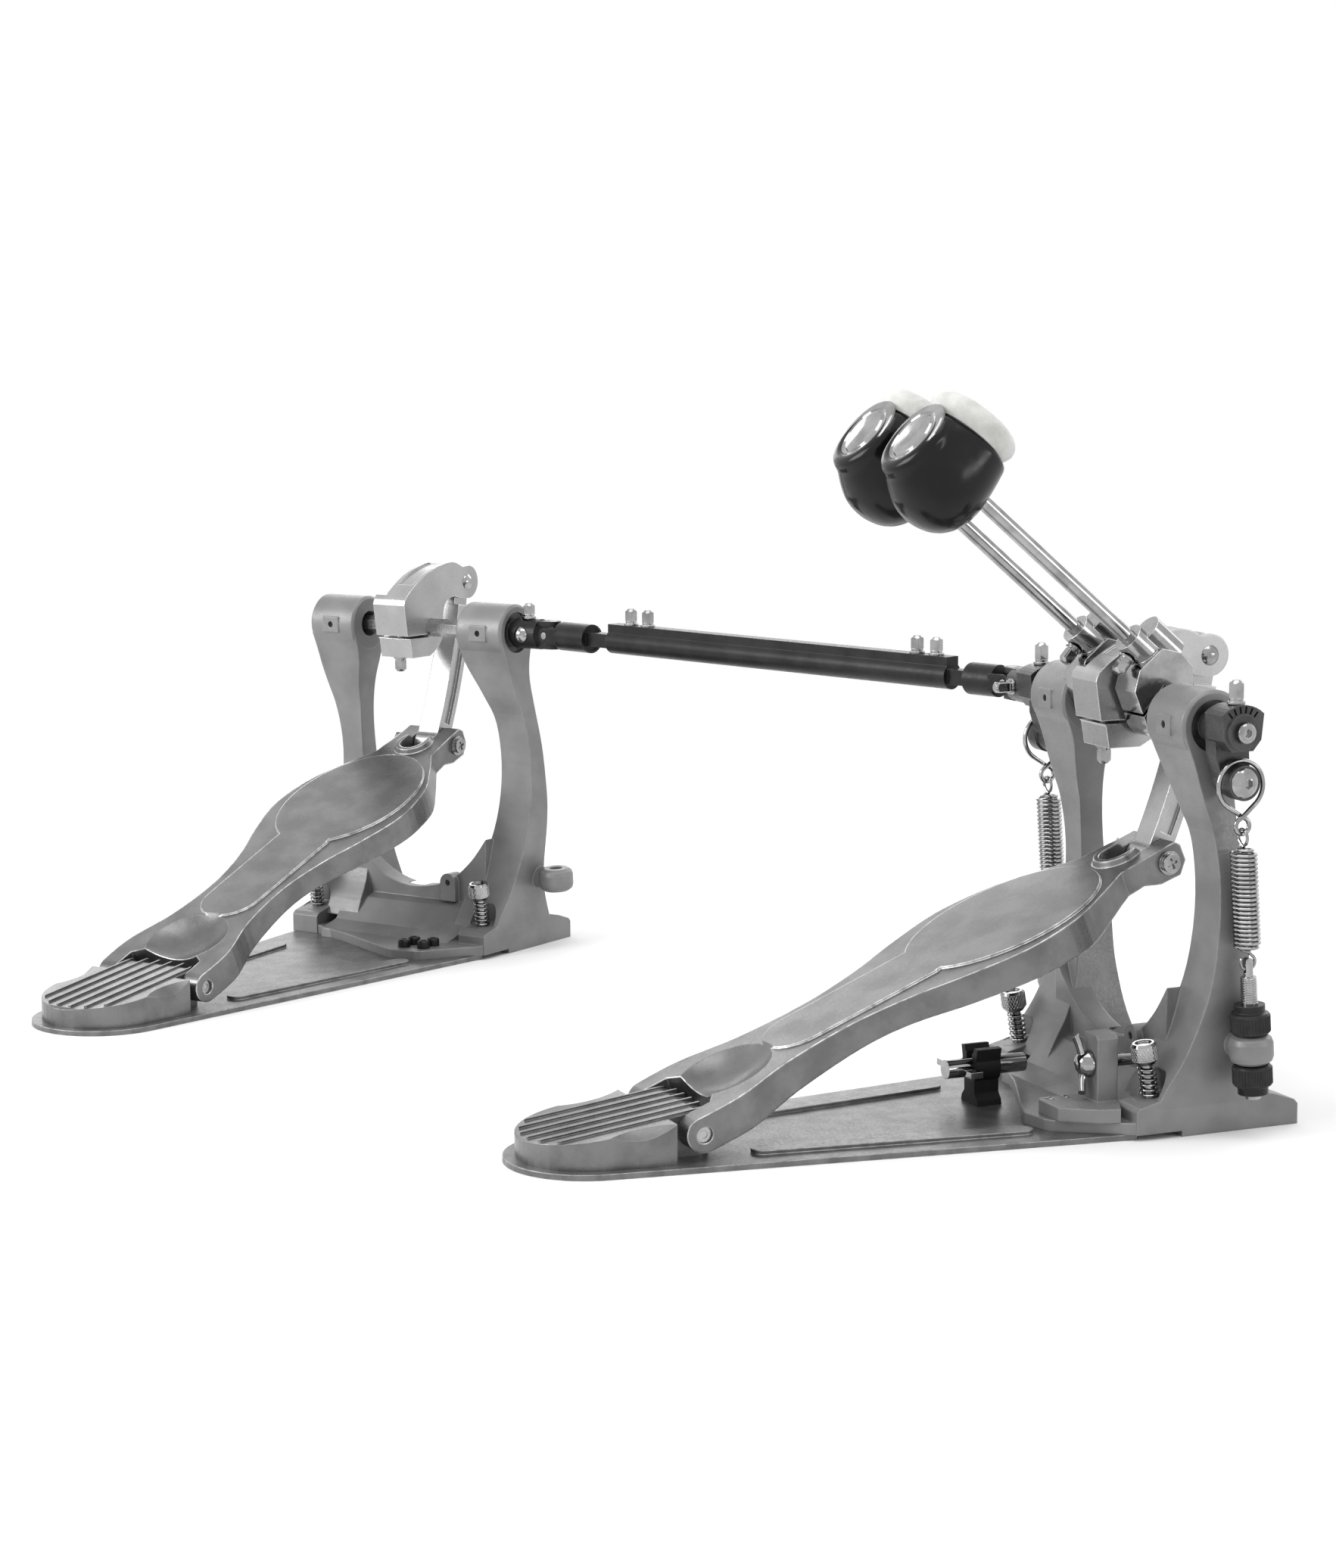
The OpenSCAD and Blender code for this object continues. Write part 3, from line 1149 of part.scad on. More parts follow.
color("gray") on_drive() cross_piece();  // driveshaft_main_cross
driveshaft_remote_rod();
color("gray") on_drive()  // driveshaft_remote_cross
    translate([drive_len, 0, 0]) cross_piece();
at_remote() footboard();  // remote_footboard
at_remote() toe_screw();  // remote_toe_screw
at_remote() link_arm();  // remote_link_arm
at_remote() remote_shaft();
at_remote() cam();  // remote_cam
at_remote() remote_yoke();
at_remote() color("silver") {  // remote_shaft_bolts
    cam_bolts();
    translate([88, 0, shaft_height + yoke_seat]) key_bolt(4.2, 7);
    translate([88, -yoke_seat, shaft_height]) rotate([90, 0, 0]) {
        translate([0, 0, -4.2]) cylinder(h = 4.4, r = 2.4);
        dome(4.9, 3);
    }
}
hoop_jaw();
wing_bolt();
drum_key();
spike(1);  // main_right_spike
spike(-1);  // main_left_spike
at_remote() spike(1);  // remote_right_spike
at_remote() spike(-1);  // remote_left_spike
tension_knobs(1);  // right_tension_knobs
tension_knobs(-1);  // left_tension_knobs
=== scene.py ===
# %% [markdown]
# A double bass drum pedal, dressed for its portrait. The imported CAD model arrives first, as a
# frame that nothing here may move. The castings, plates and bolts keep their CAD meshes and get
# finishes. Wire, felt, threads and knurls are modelled here, because they are too fine for CAD.

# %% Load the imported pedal
import json
import math
import bpy
import bmesh
from mathutils import Matrix, Vector, noise


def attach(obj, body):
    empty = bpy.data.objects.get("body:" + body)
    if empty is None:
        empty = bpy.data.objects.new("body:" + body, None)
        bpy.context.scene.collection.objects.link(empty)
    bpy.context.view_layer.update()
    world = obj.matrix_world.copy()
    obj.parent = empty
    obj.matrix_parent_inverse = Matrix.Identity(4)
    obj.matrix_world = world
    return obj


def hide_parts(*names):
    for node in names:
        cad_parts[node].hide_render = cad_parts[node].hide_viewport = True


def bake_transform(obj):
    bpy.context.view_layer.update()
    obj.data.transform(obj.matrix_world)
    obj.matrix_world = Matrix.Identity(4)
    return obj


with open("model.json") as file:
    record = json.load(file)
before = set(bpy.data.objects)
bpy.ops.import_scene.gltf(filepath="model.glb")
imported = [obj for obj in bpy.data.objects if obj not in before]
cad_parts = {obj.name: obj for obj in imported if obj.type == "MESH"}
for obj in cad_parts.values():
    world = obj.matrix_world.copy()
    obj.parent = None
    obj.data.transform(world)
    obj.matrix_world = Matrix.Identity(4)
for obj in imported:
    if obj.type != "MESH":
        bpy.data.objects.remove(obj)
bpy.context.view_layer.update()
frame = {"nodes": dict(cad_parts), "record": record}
nodes = frame["nodes"]

# %% [markdown]
# The pieces are measured in millimetres, as on the maker's drawing, while the camera, the floor
# and the lamps stand in metres. A place is a matrix that carries a piece's drawing to its spot.
# The remote pedal could have places of its own, but it is the main one turned and moved, so the
# same small functions serve both.

# %% Places on the pedal
MM = 0.001
SHAFT_H = 205.0                                           # the cam shafts above the floor
REMOTE_LEFT, REMOTE_BACK, REMOTE_TURN = 572.8, 196.0, 33.5
SPRING_X, LUG_Y, LUG_Z = 98.0, 12.0, 46.0                 # where a tension rod stands
ROLLER_DROP, LINE_RUN = 25.4, 9.0                         # the roller, seen from the lug
LINE_RISE = SHAFT_H - ROLLER_DROP - LUG_Z
SPIKE_X, SPIKE_Y, SPIKE_Z, SPIKE_LEAN = 68.4, -27.6, 19.0, 9.0
BEATER_LEAN, BEATER_OFFSET = 49.5, 19.4                   # the rods pass beside the shaft
SIDES = ((1, "right"), (-1, "left"))


def shift(x, y, z):
    return Matrix.Translation(Vector((x, y, z)))


def turn(degrees, axis):
    return Matrix.Rotation(math.radians(degrees), 4, axis)


METRES = Matrix.Scale(MM, 4)
REMOTE = shift(-REMOTE_LEFT, -REMOTE_BACK, 0) @ turn(REMOTE_TURN, "Z")
PEDALS = (("main", Matrix.Identity(4)), ("remote", REMOTE))
LINE_TILT = math.degrees(math.atan2(LINE_RUN, LINE_RISE))
LINE_LEN = math.hypot(LINE_RUN, LINE_RISE)


def spring_line(side):
    return shift(side * SPRING_X, LUG_Y, LUG_Z) @ turn(LINE_TILT, "X")


def spike_seat(side):
    return shift(side * SPIKE_X, SPIKE_Y, SPIKE_Z) @ turn(SPIKE_LEAN, "X")


def beater_line(x):
    return shift(x, 0, SHAFT_H) @ turn(BEATER_LEAN, "X") @ shift(0, BEATER_OFFSET, 0)


def facing(origin, direction):
    aim = Vector(direction).to_track_quat("Z", "Y").to_matrix().to_4x4()
    return Matrix.Translation(Vector(origin)) @ aim


print("spring lines:", round(LINE_LEN, 1), "mm long, leaning", round(LINE_TILT, 1), "degrees")

# %% [markdown]
# A camera can be placed by eye until the picture looks right, but a lens and a distance are then
# easily mixed up. This one was worked out from the two identical pedals in the photograph, whose
# feet, hinges and shafts fix the lens and the eye. The sensor is set to the picture's height, so
# the framing holds for a tall picture whatever size the file is rendered at.

# %% Camera at the photograph's viewing angle
EYE = Vector((1.4652, -0.8618, 0.4158))
LOOK = Vector((-0.9148, 0.3766, -0.1459)).normalized()
UP = Vector((-0.1322, 0.0619, 0.9893))
PHOTO_HEIGHT = 2072
FOCAL_PIXELS = 4364.8
SENSOR = 36.0

right = LOOK.cross(UP).normalized()
upright = right.cross(LOOK)
cam_data = bpy.data.cameras.new("portrait_camera")
cam_data.sensor_fit = "VERTICAL"
cam_data.sensor_height = SENSOR
cam_data.lens = FOCAL_PIXELS / PHOTO_HEIGHT * SENSOR
cam_data.clip_end = 50.0
camera = bpy.data.objects.new("portrait_camera", cam_data)
axes = Matrix((right, upright, -LOOK)).transposed().to_4x4()
camera.matrix_world = Matrix.Translation(EYE) @ axes
bpy.context.scene.collection.objects.link(camera)
bpy.context.scene.camera = camera
print("lens:", round(cam_data.lens, 2), "mm")

# %% [markdown]
# Materials are node trees. An effect that several finishes share, such as grain or worn edges,
# is built once as a node group with named sockets, and each finish places it with its own values.
# All patterns read Object coordinates, so they stay on the metal when a joint moves.

# %% Helpers for node groups and materials


def new_group(name, inputs, outputs):
    tree = bpy.data.node_groups.new(name, "ShaderNodeTree")
    for label, kind, value in inputs:
        socket = tree.interface.new_socket(label, in_out="INPUT", socket_type=kind)
        socket.default_value = value
    for label, kind in outputs:
        tree.interface.new_socket(label, in_out="OUTPUT", socket_type=kind)
    return tree, tree.nodes.new("NodeGroupInput"), tree.nodes.new("NodeGroupOutput")


def add(tree, kind, **values):
    node = tree.nodes.new(kind)
    for key, value in values.items():
        setattr(node, key, value)
    return node


def put(node, **values):
    for key, value in values.items():
        node.inputs[key.replace("_", " ")].default_value = value
    return node


def noise_at(tree, scale, detail=4.0, rough=0.55):
    coords = add(tree, "ShaderNodeTexCoord")
    field = put(add(tree, "ShaderNodeTexNoise"), Scale=scale, Detail=detail, Roughness=rough)
    tree.links.new(coords.outputs["Object"], field.inputs["Vector"])
    return field


def remap(tree, source, low, high, to_low=0.0, to_high=1.0):
    node = add(tree, "ShaderNodeMapRange", interpolation_type="SMOOTHSTEP")
    put(node, From_Min=low, From_Max=high, To_Min=to_low, To_Max=to_high)
    tree.links.new(source, node.inputs["Value"])
    return node.outputs["Result"]


print("helpers: node groups, socket values, noise and ranges")

# %% [markdown]
# Cast paint and tumbled metal are never quite even. A photograph of a surface could show that,
# but it would have to be unwrapped and would blur close up. A noise needs neither, so one group
# turns a noise into a value between two ends, for patches of colour and for roughness alike.

# %% Grain: one noise field, stretched to a chosen range
FIELD_LOW, FIELD_HIGH = 0.32, 0.68        # most of a noise field lies between these

grain, g_in, g_out = new_group(
    "grain",
    [("Scale", "NodeSocketFloat", 300.0), ("Low", "NodeSocketFloat", 0.3),
     ("High", "NodeSocketFloat", 0.5)],
    [("Value", "NodeSocketFloat")])
field = noise_at(grain, 300.0)
spread = add(grain, "ShaderNodeMapRange", interpolation_type="SMOOTHSTEP")
put(spread, From_Min=FIELD_LOW, From_Max=FIELD_HIGH)
grain.links.new(g_in.outputs["Scale"], field.inputs["Scale"])
grain.links.new(field.outputs["Fac"], spread.inputs["Value"])
grain.links.new(g_in.outputs["Low"], spread.inputs["To Min"])
grain.links.new(g_in.outputs["High"], spread.inputs["To Max"])
grain.links.new(spread.outputs["Result"], g_out.inputs["Value"])
print("group:", grain.name)

# %% [markdown]
# Handling and tumbling polish the edges of a casting first. The edges could be painted by hand,
# piece by piece. Here the shader finds them: the bevel node gives a normal that is rounded over
# each edge, and where it parts from the face's own normal there is an edge to brighten. The
# brighter colour is partly this wear and partly a painted highlight, the line of light that a
# rounded edge catches, and inner corners get it too.

# %% Worn edges and painted edge highlights
EDGE_FAINT, EDGE_FULL = 0.01, 0.16        # one minus the dot product of the two normals
SCUFF_SCALE, SCUFF_LOW, SCUFF_HIGH, SCUFF_LEAST = 180.0, 0.3, 0.6, 0.35
RELIEF_DEPTH = 0.0004                     # metres

edges, e_in, e_out = new_group(
    "edge_wear_and_highlight",
    [("Radius", "NodeSocketFloat", 0.001), ("Wear", "NodeSocketFloat", 1.0),
     ("Bump", "NodeSocketFloat", 0.1), ("Height", "NodeSocketFloat", 0.5)],
    [("Mask", "NodeSocketFloat"), ("Normal", "NodeSocketVector")])
rounded = add(edges, "ShaderNodeBevel", samples=6)
surface = add(edges, "ShaderNodeNewGeometry")
agree = add(edges, "ShaderNodeVectorMath", operation="DOT_PRODUCT")
apart = add(edges, "ShaderNodeMath", operation="SUBTRACT")
apart.inputs[0].default_value = 1.0
broken = add(edges, "ShaderNodeMath", operation="MULTIPLY")
# The mask brightens every edge, inner corners too: partly wear, partly a painted highlight.
worn_and_highlit = add(edges, "ShaderNodeMath", operation="MULTIPLY", use_clamp=True)
relief = add(edges, "ShaderNodeBump")
relief.inputs["Distance"].default_value = RELIEF_DEPTH
edges.links.new(e_in.outputs["Radius"], rounded.inputs["Radius"])
edges.links.new(rounded.outputs["Normal"], agree.inputs[0])
edges.links.new(surface.outputs["Normal"], agree.inputs[1])
edges.links.new(agree.outputs["Value"], apart.inputs[1])
edge = remap(edges, apart.outputs[0], EDGE_FAINT, EDGE_FULL)
scuffs = remap(edges, noise_at(edges, SCUFF_SCALE).outputs["Fac"], SCUFF_LOW, SCUFF_HIGH,
               SCUFF_LEAST, 1.0)
edges.links.new(edge, broken.inputs[0])
edges.links.new(scuffs, broken.inputs[1])
edges.links.new(broken.outputs[0], worn_and_highlit.inputs[0])
edges.links.new(e_in.outputs["Wear"], worn_and_highlit.inputs[1])
edges.links.new(worn_and_highlit.outputs[0], e_out.inputs["Mask"])
edges.links.new(e_in.outputs["Bump"], relief.inputs["Strength"])
edges.links.new(e_in.outputs["Height"], relief.inputs["Height"])
edges.links.new(rounded.outputs["Normal"], relief.inputs["Normal"])
edges.links.new(relief.outputs["Normal"], e_out.inputs["Normal"])
print("group:", edges.name)

# %% [markdown]
# Nearly all of the pedal is metal, or paint on metal. One material with many switches could serve
# it all, but then every piece would carry every effect. A function that writes a material keeps
# each tree small: mottled colour, grained roughness and bright edges, which are partly wear and
# partly a painted highlight.

# %% Metal finish


def place_group(tree, group, **values):
    node = add(tree, "ShaderNodeGroup")
    node.node_tree = group
    return put(node, **values)


def tone(value):
    if isinstance(value, (int, float)):
        value = (value, value, value)
    return (*value, 1.0)


def finish(name, dark, light, metallic, rough, edge=None, grain_scale=400.0, mottle=45.0,
           bump=0.08, wear_and_shine=0.8, radius=0.0006, **shader_values):
    mat = bpy.data.materials.new(name)
    mat.use_nodes = True
    tree = mat.node_tree
    shader = tree.nodes["Principled BSDF"]
    put(shader, Metallic=metallic, **shader_values)
    patches = place_group(tree, grain, Scale=mottle, Low=0.0, High=1.0)
    fine = place_group(tree, grain, Scale=grain_scale, Low=rough[0], High=rough[1])
    rim = place_group(tree, edges, Radius=radius, Wear=wear_and_shine, Bump=bump)
    base = add(tree, "ShaderNodeMix", data_type="RGBA")
    base.inputs["A"].default_value = tone(dark)
    base.inputs["B"].default_value = tone(light)
    # The edge colour is partly wear and partly a painted highlight along the edges.
    base_worn_and_highlit = add(tree, "ShaderNodeMix", data_type="RGBA")
    base_worn_and_highlit.inputs["B"].default_value = tone(light if edge is None else edge)
    tree.links.new(patches.outputs["Value"], base.inputs["Factor"])
    tree.links.new(base.outputs["Result"], base_worn_and_highlit.inputs["A"])
    tree.links.new(rim.outputs["Mask"], base_worn_and_highlit.inputs["Factor"])
    tree.links.new(base_worn_and_highlit.outputs["Result"], shader.inputs["Base Color"])
    tree.links.new(fine.outputs["Value"], shader.inputs["Roughness"])
    tree.links.new(fine.outputs["Value"], rim.inputs["Height"])
    tree.links.new(rim.outputs["Normal"], shader.inputs["Normal"])
    return mat


print("helper: finish")

# %% [markdown]
# The castings are painted a satin grey. The footboards and heel plates are tumbled aluminium:
# stones have dulled the faces to a cloudy grey and polished every edge bright, and each finish's
# edge colour also paints in the highlight along the edges. Bolts, rods and springs are chromed,
# and the driveshaft, rockers and knobs are blackened. Each finish is one call with its own
# values, so that two of them are easy to compare.

# %% The finishes
painted = finish("satin_casting_paint", 0.17, 0.22, 0.25, (0.34, 0.50), edge=0.42,
                 grain_scale=900.0, mottle=38.0, bump=0.14, wear_and_shine=0.6, radius=0.0012)
tumbled = finish("tumbled_aluminium", 0.13, 0.19, 0.82, (0.27, 0.36), edge=0.85,
                 grain_scale=800.0, mottle=45.0, bump=0.06, wear_and_shine=1.0, radius=0.0014)
tumbled_heel = finish("tumbled_heel", 0.13, 0.19, 0.80, (0.27, 0.36), edge=0.5,
                      grain_scale=800.0, mottle=45.0, bump=0.05, wear_and_shine=0.6, radius=0.0004)
plate_paint = finish("silver_plate", 0.13, 0.20, 0.60, (0.32, 0.44), edge=0.60,
                     grain_scale=700.0, mottle=90.0, bump=0.10, wear_and_shine=0.8, radius=0.0009)
cam_metal = finish("satin_cam", 0.36, 0.43, 0.85, (0.27, 0.33), edge=0.80,
                   grain_scale=900.0, mottle=40.0, bump=0.015, wear_and_shine=0.9, radius=0.0008)
spring_steel = finish("spring_steel", 0.26, 0.36, 1.0, (0.10, 0.18), edge=0.5,
                      grain_scale=300.0, mottle=90.0, bump=0.02, wear_and_shine=0.4, radius=0.0003)
gunmetal = finish("gunmetal", 0.050, 0.075, 0.6, (0.26, 0.40), edge=0.20,
                  grain_scale=700.0, mottle=80.0, bump=0.12, wear_and_shine=0.7, radius=0.0006,
                  Specular_IOR_Level=0.3)
chrome = finish("polished_chrome", 0.27, 0.40, 1.0, (0.05, 0.11), edge=0.62,
                grain_scale=260.0, mottle=90.0, bump=0.01, wear_and_shine=0.5, radius=0.0003)
machined = finish("machined_chrome", 0.30, 0.42, 1.0, (0.10, 0.20), edge=0.9,
                  grain_scale=700.0, mottle=70.0, bump=0.04, wear_and_shine=0.9, radius=0.0005)
ground_steel = finish("ground_steel", 0.30, 0.42, 1.0, (0.22, 0.34), edge=0.6,
                      grain_scale=900.0, mottle=120.0, bump=0.04, wear_and_shine=0.5, radius=0.0003)
black_oxide = finish("black_oxide", 0.012, 0.022, 0.4, (0.28, 0.44), edge=0.10,
                     grain_scale=800.0, mottle=60.0, bump=0.16, wear_and_shine=0.7, radius=0.0006,
                     Specular_IOR_Level=0.3)
clip_plastic = finish("matt_clip_plastic", 0.010, 0.014, 0.0, (0.45, 0.58), edge=0.03,
                      grain_scale=900.0, bump=0.1, wear_and_shine=0.5, Specular_IOR_Level=0.25)
beater_black = finish("beater_black", 0.004, 0.007, 0.0, (0.15, 0.24), edge=0.015,
                      grain_scale=240.0, mottle=25.0, bump=0.03, wear_and_shine=0.4,
                      Specular_IOR_Level=0.25)
bearing_mix = finish("bearing_seal", 0.030, 0.060, 0.4, (0.30, 0.45), edge=0.20,
                     grain_scale=700.0, mottle=150.0, bump=0.05, wear_and_shine=0.8, radius=0.0004)
mark_black = finish("engraved_black", 0.002, 0.004, 0.0, (0.50, 0.60), bump=0.05,
                    Specular_IOR_Level=0.05)
print("finishes:", len(bpy.data.materials))

# %% [markdown]
# Felt is pressed wool. It scatters light in a mat of fine fibres, so it is very rough and has a
# soft sheen. Hair particles could be grown on it, but they are slow and too long for pressed
# wool. A very fine noise with much detail, used as a bump, reads as its tangle of short threads.

# %% Felt material
felt = bpy.data.materials.new("off_white_felt")
felt.use_nodes = True
wool = felt.node_tree
wool_shader = put(wool.nodes["Principled BSDF"], Sheen_Weight=0.5, Sheen_Roughness=0.6,
                  Roughness=0.95)
tufts = place_group(wool, grain, Scale=70.0, Low=0.0, High=1.0)
wool_mix = add(wool, "ShaderNodeMix", data_type="RGBA")
wool_mix.inputs["A"].default_value = tone((0.50, 0.50, 0.48))
wool_mix.inputs["B"].default_value = tone((0.64, 0.64, 0.62))
fibres = noise_at(wool, 1400.0, 6.0, 0.7)
fuzz = add(wool, "ShaderNodeBump")
put(fuzz, Strength=0.55, Distance=0.0006)
wool.links.new(tufts.outputs["Value"], wool_mix.inputs["Factor"])
wool.links.new(wool_mix.outputs["Result"], wool_shader.inputs["Base Color"])
wool.links.new(fibres.outputs["Fac"], fuzz.inputs["Height"])
wool.links.new(fuzz.outputs["Normal"], wool_shader.inputs["Normal"])
print("finish:", felt.name)

# %% [markdown]
# The record names a material slot for each CAD node. The nodes could be dressed one by one, but
# a table from slot to finish does it in one loop. Some nodes look different from the rest of
# their slot, and a second table names these.

# %% Give every CAD node its finish
SLOT_FINISH = {
    "base_plate": plate_paint, "casting": painted, "tumbled": tumbled, "cam_metal": cam_metal,
    "chrome": chrome, "steel": ground_steel, "black_steel": black_oxide,
    "black_plastic": beater_black, "clip_plastic": clip_plastic, "felt": felt,
    "bearing": bearing_mix,
}
OWN_FINISH = {
    "right_hub": machined, "left_hub": machined,
    "right_rocker": gunmetal, "left_rocker": gunmetal,
    "main_heel_plate": tumbled_heel, "remote_heel_plate": tumbled_heel,
}
slot_of = {row["node"]: row["material_slot"] for row in frame["record"]["subparts"]}
for name, node in nodes.items():
    node.data.materials.clear()
    node.data.materials.append(OWN_FINISH.get(name, SLOT_FINISH[slot_of[name]]))
print("dressed:", len(nodes), "CAD nodes,", len(OWN_FINISH), "with a finish of their own")

# %% [markdown]
# New pieces start as a bmesh in millimetres, are shaped by operators, and are then carried into
# place in metres. Their normals are recalculated, because a spin can turn a shape inside out.
# Two operators make most of them: a spin for what a lathe turns, an extrusion for what is bent.

# %% Helpers that finish a piece
SHARP = math.radians(35)                  # a steeper crease stays sharp
WELD = 0.0005                             # millimetres
ANY_SIDE = Vector((1, 0.013, 0.007))      # along no axis, so no path starts along it


def make_piece(name, bm, place, body, material, replaces=None, smooth=True):
    """Put a bmesh in place and attach it to body when body is a name. A tuple of two bodies and
    the points of a blend is not used: the piece then stays where it is, unattached.
    """
    bmesh.ops.remove_doubles(bm, verts=bm.verts, dist=WELD)
    bmesh.ops.transform(bm, matrix=METRES @ place, verts=bm.verts)
    bmesh.ops.recalc_face_normals(bm, faces=bm.faces)
    mesh = bpy.data.meshes.new(name)
    bm.to_mesh(mesh)
    bm.free()
    for face in mesh.polygons:
        face.use_smooth = smooth
    mesh.set_sharp_from_angle(angle=SHARP)
    piece = bpy.data.objects.new(name, mesh)
    bpy.context.scene.collection.objects.link(piece)
    mesh.materials.append(material)
    if isinstance(body, str):
        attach(piece, body)
    else:
        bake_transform(piece)
    if replaces:
        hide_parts(replaces)
    return piece


def lathe(bm, profile, segments=32):
    """Spin a list of (radius, height) points once round the Z axis."""
    verts = [bm.verts.new((r, 0, z)) for r, z in profile]
    rim = [bm.edges.new(pair) for pair in zip(verts, verts[1:])]
    bmesh.ops.spin(bm, geom=verts + rim, cent=(0, 0, 0), axis=(0, 0, 1),
                   angle=2 * math.pi, steps=segments, use_merge=True)
    bmesh.ops.remove_doubles(bm, verts=bm.verts, dist=WELD)


def edges_of(verts):
    """The edges at these corners, each once and in the same order on every run."""
    return list(dict.fromkeys(e for v in verts for e in v.link_edges))


def sweep_wire(bm, path, radius, sides=10, closed=False):
    """Carry a round section along a path, turning it no more than the path turns."""
    count = len(path)
    path = [Vector(p) for p in path]
    ring = bmesh.ops.create_circle(bm, radius=radius, segments=sides, cap_ends=not closed)
    verts = ring["verts"]
    first = edges_of(verts)
    rim, previous, side = first, Matrix.Identity(4), ANY_SIDE
    for i in range(count):
        after = path[(i + 1) % count] if closed or i < count - 1 else path[i]
        before = path[i - 1] if closed or i > 0 else path[i]
        ahead = (after - before).normalized()
        side = (side - side.dot(ahead) * ahead).normalized()
        spot = Matrix((side, ahead.cross(side), ahead)).transposed().to_4x4()
        spot.translation = path[i]
        if i > 0:
            made = bmesh.ops.extrude_edge_only(bm, edges=rim)["geom"]
            verts = [g for g in made if isinstance(g, bmesh.types.BMVert)]
            rim = [g for g in made if isinstance(g, bmesh.types.BMEdge)
                   and g.verts[0] in verts and g.verts[1] in verts]
        bmesh.ops.transform(bm, matrix=spot @ previous.inverted(), verts=verts)
        previous = spot
    if closed:
        bmesh.ops.bridge_loops(bm, edges=first + rim)
    else:
        bmesh.ops.contextual_create(bm, geom=verts)


def arc_points(centre, radius, start, stop, steps, plane="yz"):
    """Points on an arc that runs from start to stop, in degrees."""
    points = []
    for i in range(steps + 1):
        a = math.radians(start + (stop - start) * i / steps)
        u, v = centre[0] + radius * math.cos(a), centre[1] + radius * math.sin(a)
        points.append((0, u, v) if plane == "yz" else (u, 0, v))
    return points


print("helpers: make_piece, lathe, sweep_wire and arc_points")

# %% [markdown]
# A return spring is one wire: a hook, twenty-four curls and another hook. A screw modifier could
# draw the curls but not the hooks, so a round section is carried along one path. The lower hook
# sits in the tension rod's eye and the upper hook on the teardrop; the wire stays where it is
# put, tied to neither body.

# %% Return springs
WIRE, COIL_W, CURLS, PITCH = 1.7, 14.0, 24, 2.2                 # the width is over the wire
COIL_R = (COIL_W - WIRE) / 2
HOOK_R, NECK, LOW_NECK, NECK_RISE, NECK_SIDE = 4.0, 0.8, 1, 1.2, 1.6
LOW_HOOK, TOP_HOOK = (150, 390, 16), (210, -60, 18)             # from and to in degrees, steps
DROP_WIRE, DROP_R, DROP_REACH, EYE_R = 2.4, 12.3, 20.0, 4.0     # the teardrop it hangs on
ROLLER_R, ROLLER_GAP, LOOP_BACK, PLAY = 8.7, 0.8, 11.1, 0.3
COIL_STEPS, TAPER_STEPS = 16, 22

# Heights along the spring's line, from the teardrop's loop down to the lower hook
LOOP_C = LINE_LEN + ROLLER_R + ROLLER_GAP - LOOP_BACK
EYE_C = LOOP_C - DROP_REACH
HOOK_TOP = EYE_C - EYE_R + DROP_WIRE / 2 + PLAY + WIRE / 2
COIL_Z = HOOK_TOP - 2 * HOOK_R - CURLS * PITCH - NECK
COIL_TOP = COIL_Z + CURLS * PITCH
HOOK_LOW = COIL_Z - HOOK_R - LOW_NECK


def coil_points(radius, start, pitch, curls, taper=1):
    """A helix whose radius grows from the axis and shrinks again within taper steps."""
    points, last = [], COIL_STEPS * curls
    for i in range(last + 1):
        ease = min(1.0, (i + 1) / taper, (last - i + 1) / taper)
        a = 2 * math.pi * i / COIL_STEPS
        points.append((radius * ease * math.sin(a), radius * ease * math.cos(a),
                       start + pitch * i / COIL_STEPS))
    return points


def line_point(side, t):
    return tuple(METRES @ spring_line(side) @ Vector((0, 0, t)))


for side, word in SIDES:
    path = arc_points((0, HOOK_LOW), HOOK_R, *LOW_HOOK)
    path += [(0, NECK_SIDE, COIL_Z - NECK_RISE)]
    path += coil_points(COIL_R, COIL_Z, PITCH, CURLS, TAPER_STEPS)
    path += [(-NECK_SIDE, 0, COIL_TOP + NECK_RISE)]
    path += arc_points((0, HOOK_TOP - HOOK_R), HOOK_R, *TOP_HOOK, plane="xz")
    bm = bmesh.new()
    sweep_wire(bm, path, WIRE / 2, sides=8)
    span = (word + "_spring", word + "_teardrop", line_point(side, COIL_Z),
            line_point(side, COIL_TOP))
    make_piece(word + "_spring_wire", bm, spring_line(side), span, spring_steel,
               word + "_return_spring")
print("return springs:", CURLS, "curls of", WIRE, "mm wire")

# %% [markdown]
# The teardrop is a loop of thicker wire. It hangs round the roller, its two legs cross, and they
# close in a small eye for the spring. It could be a curve object with a bevel, but the spring's
# sweep can be closed into a ring as well, and its section stays round where the legs cross.

# %% Teardrops
LEAN = math.degrees(math.acos((DROP_R + EYE_R) / DROP_REACH))
CROSS_Z = LOOP_C - DROP_R / math.cos(math.radians(LEAN))
LEG_SIDE = DROP_WIRE / 2 + 0.2            # the legs pass each other at this half distance
BEND_SIDE = 0.6                           # the loop and the eye slant by twice this
LOOP_STEPS, EYE_STEPS = 52, 28


def laid(points, x0, x1):
    """Slant a flat arc sideways, from x0 at its start to x1 at its end."""
    last = len(points) - 1
    return [(x0 + (x1 - x0) * i / last, y, z) for i, (x, y, z) in enumerate(points)]


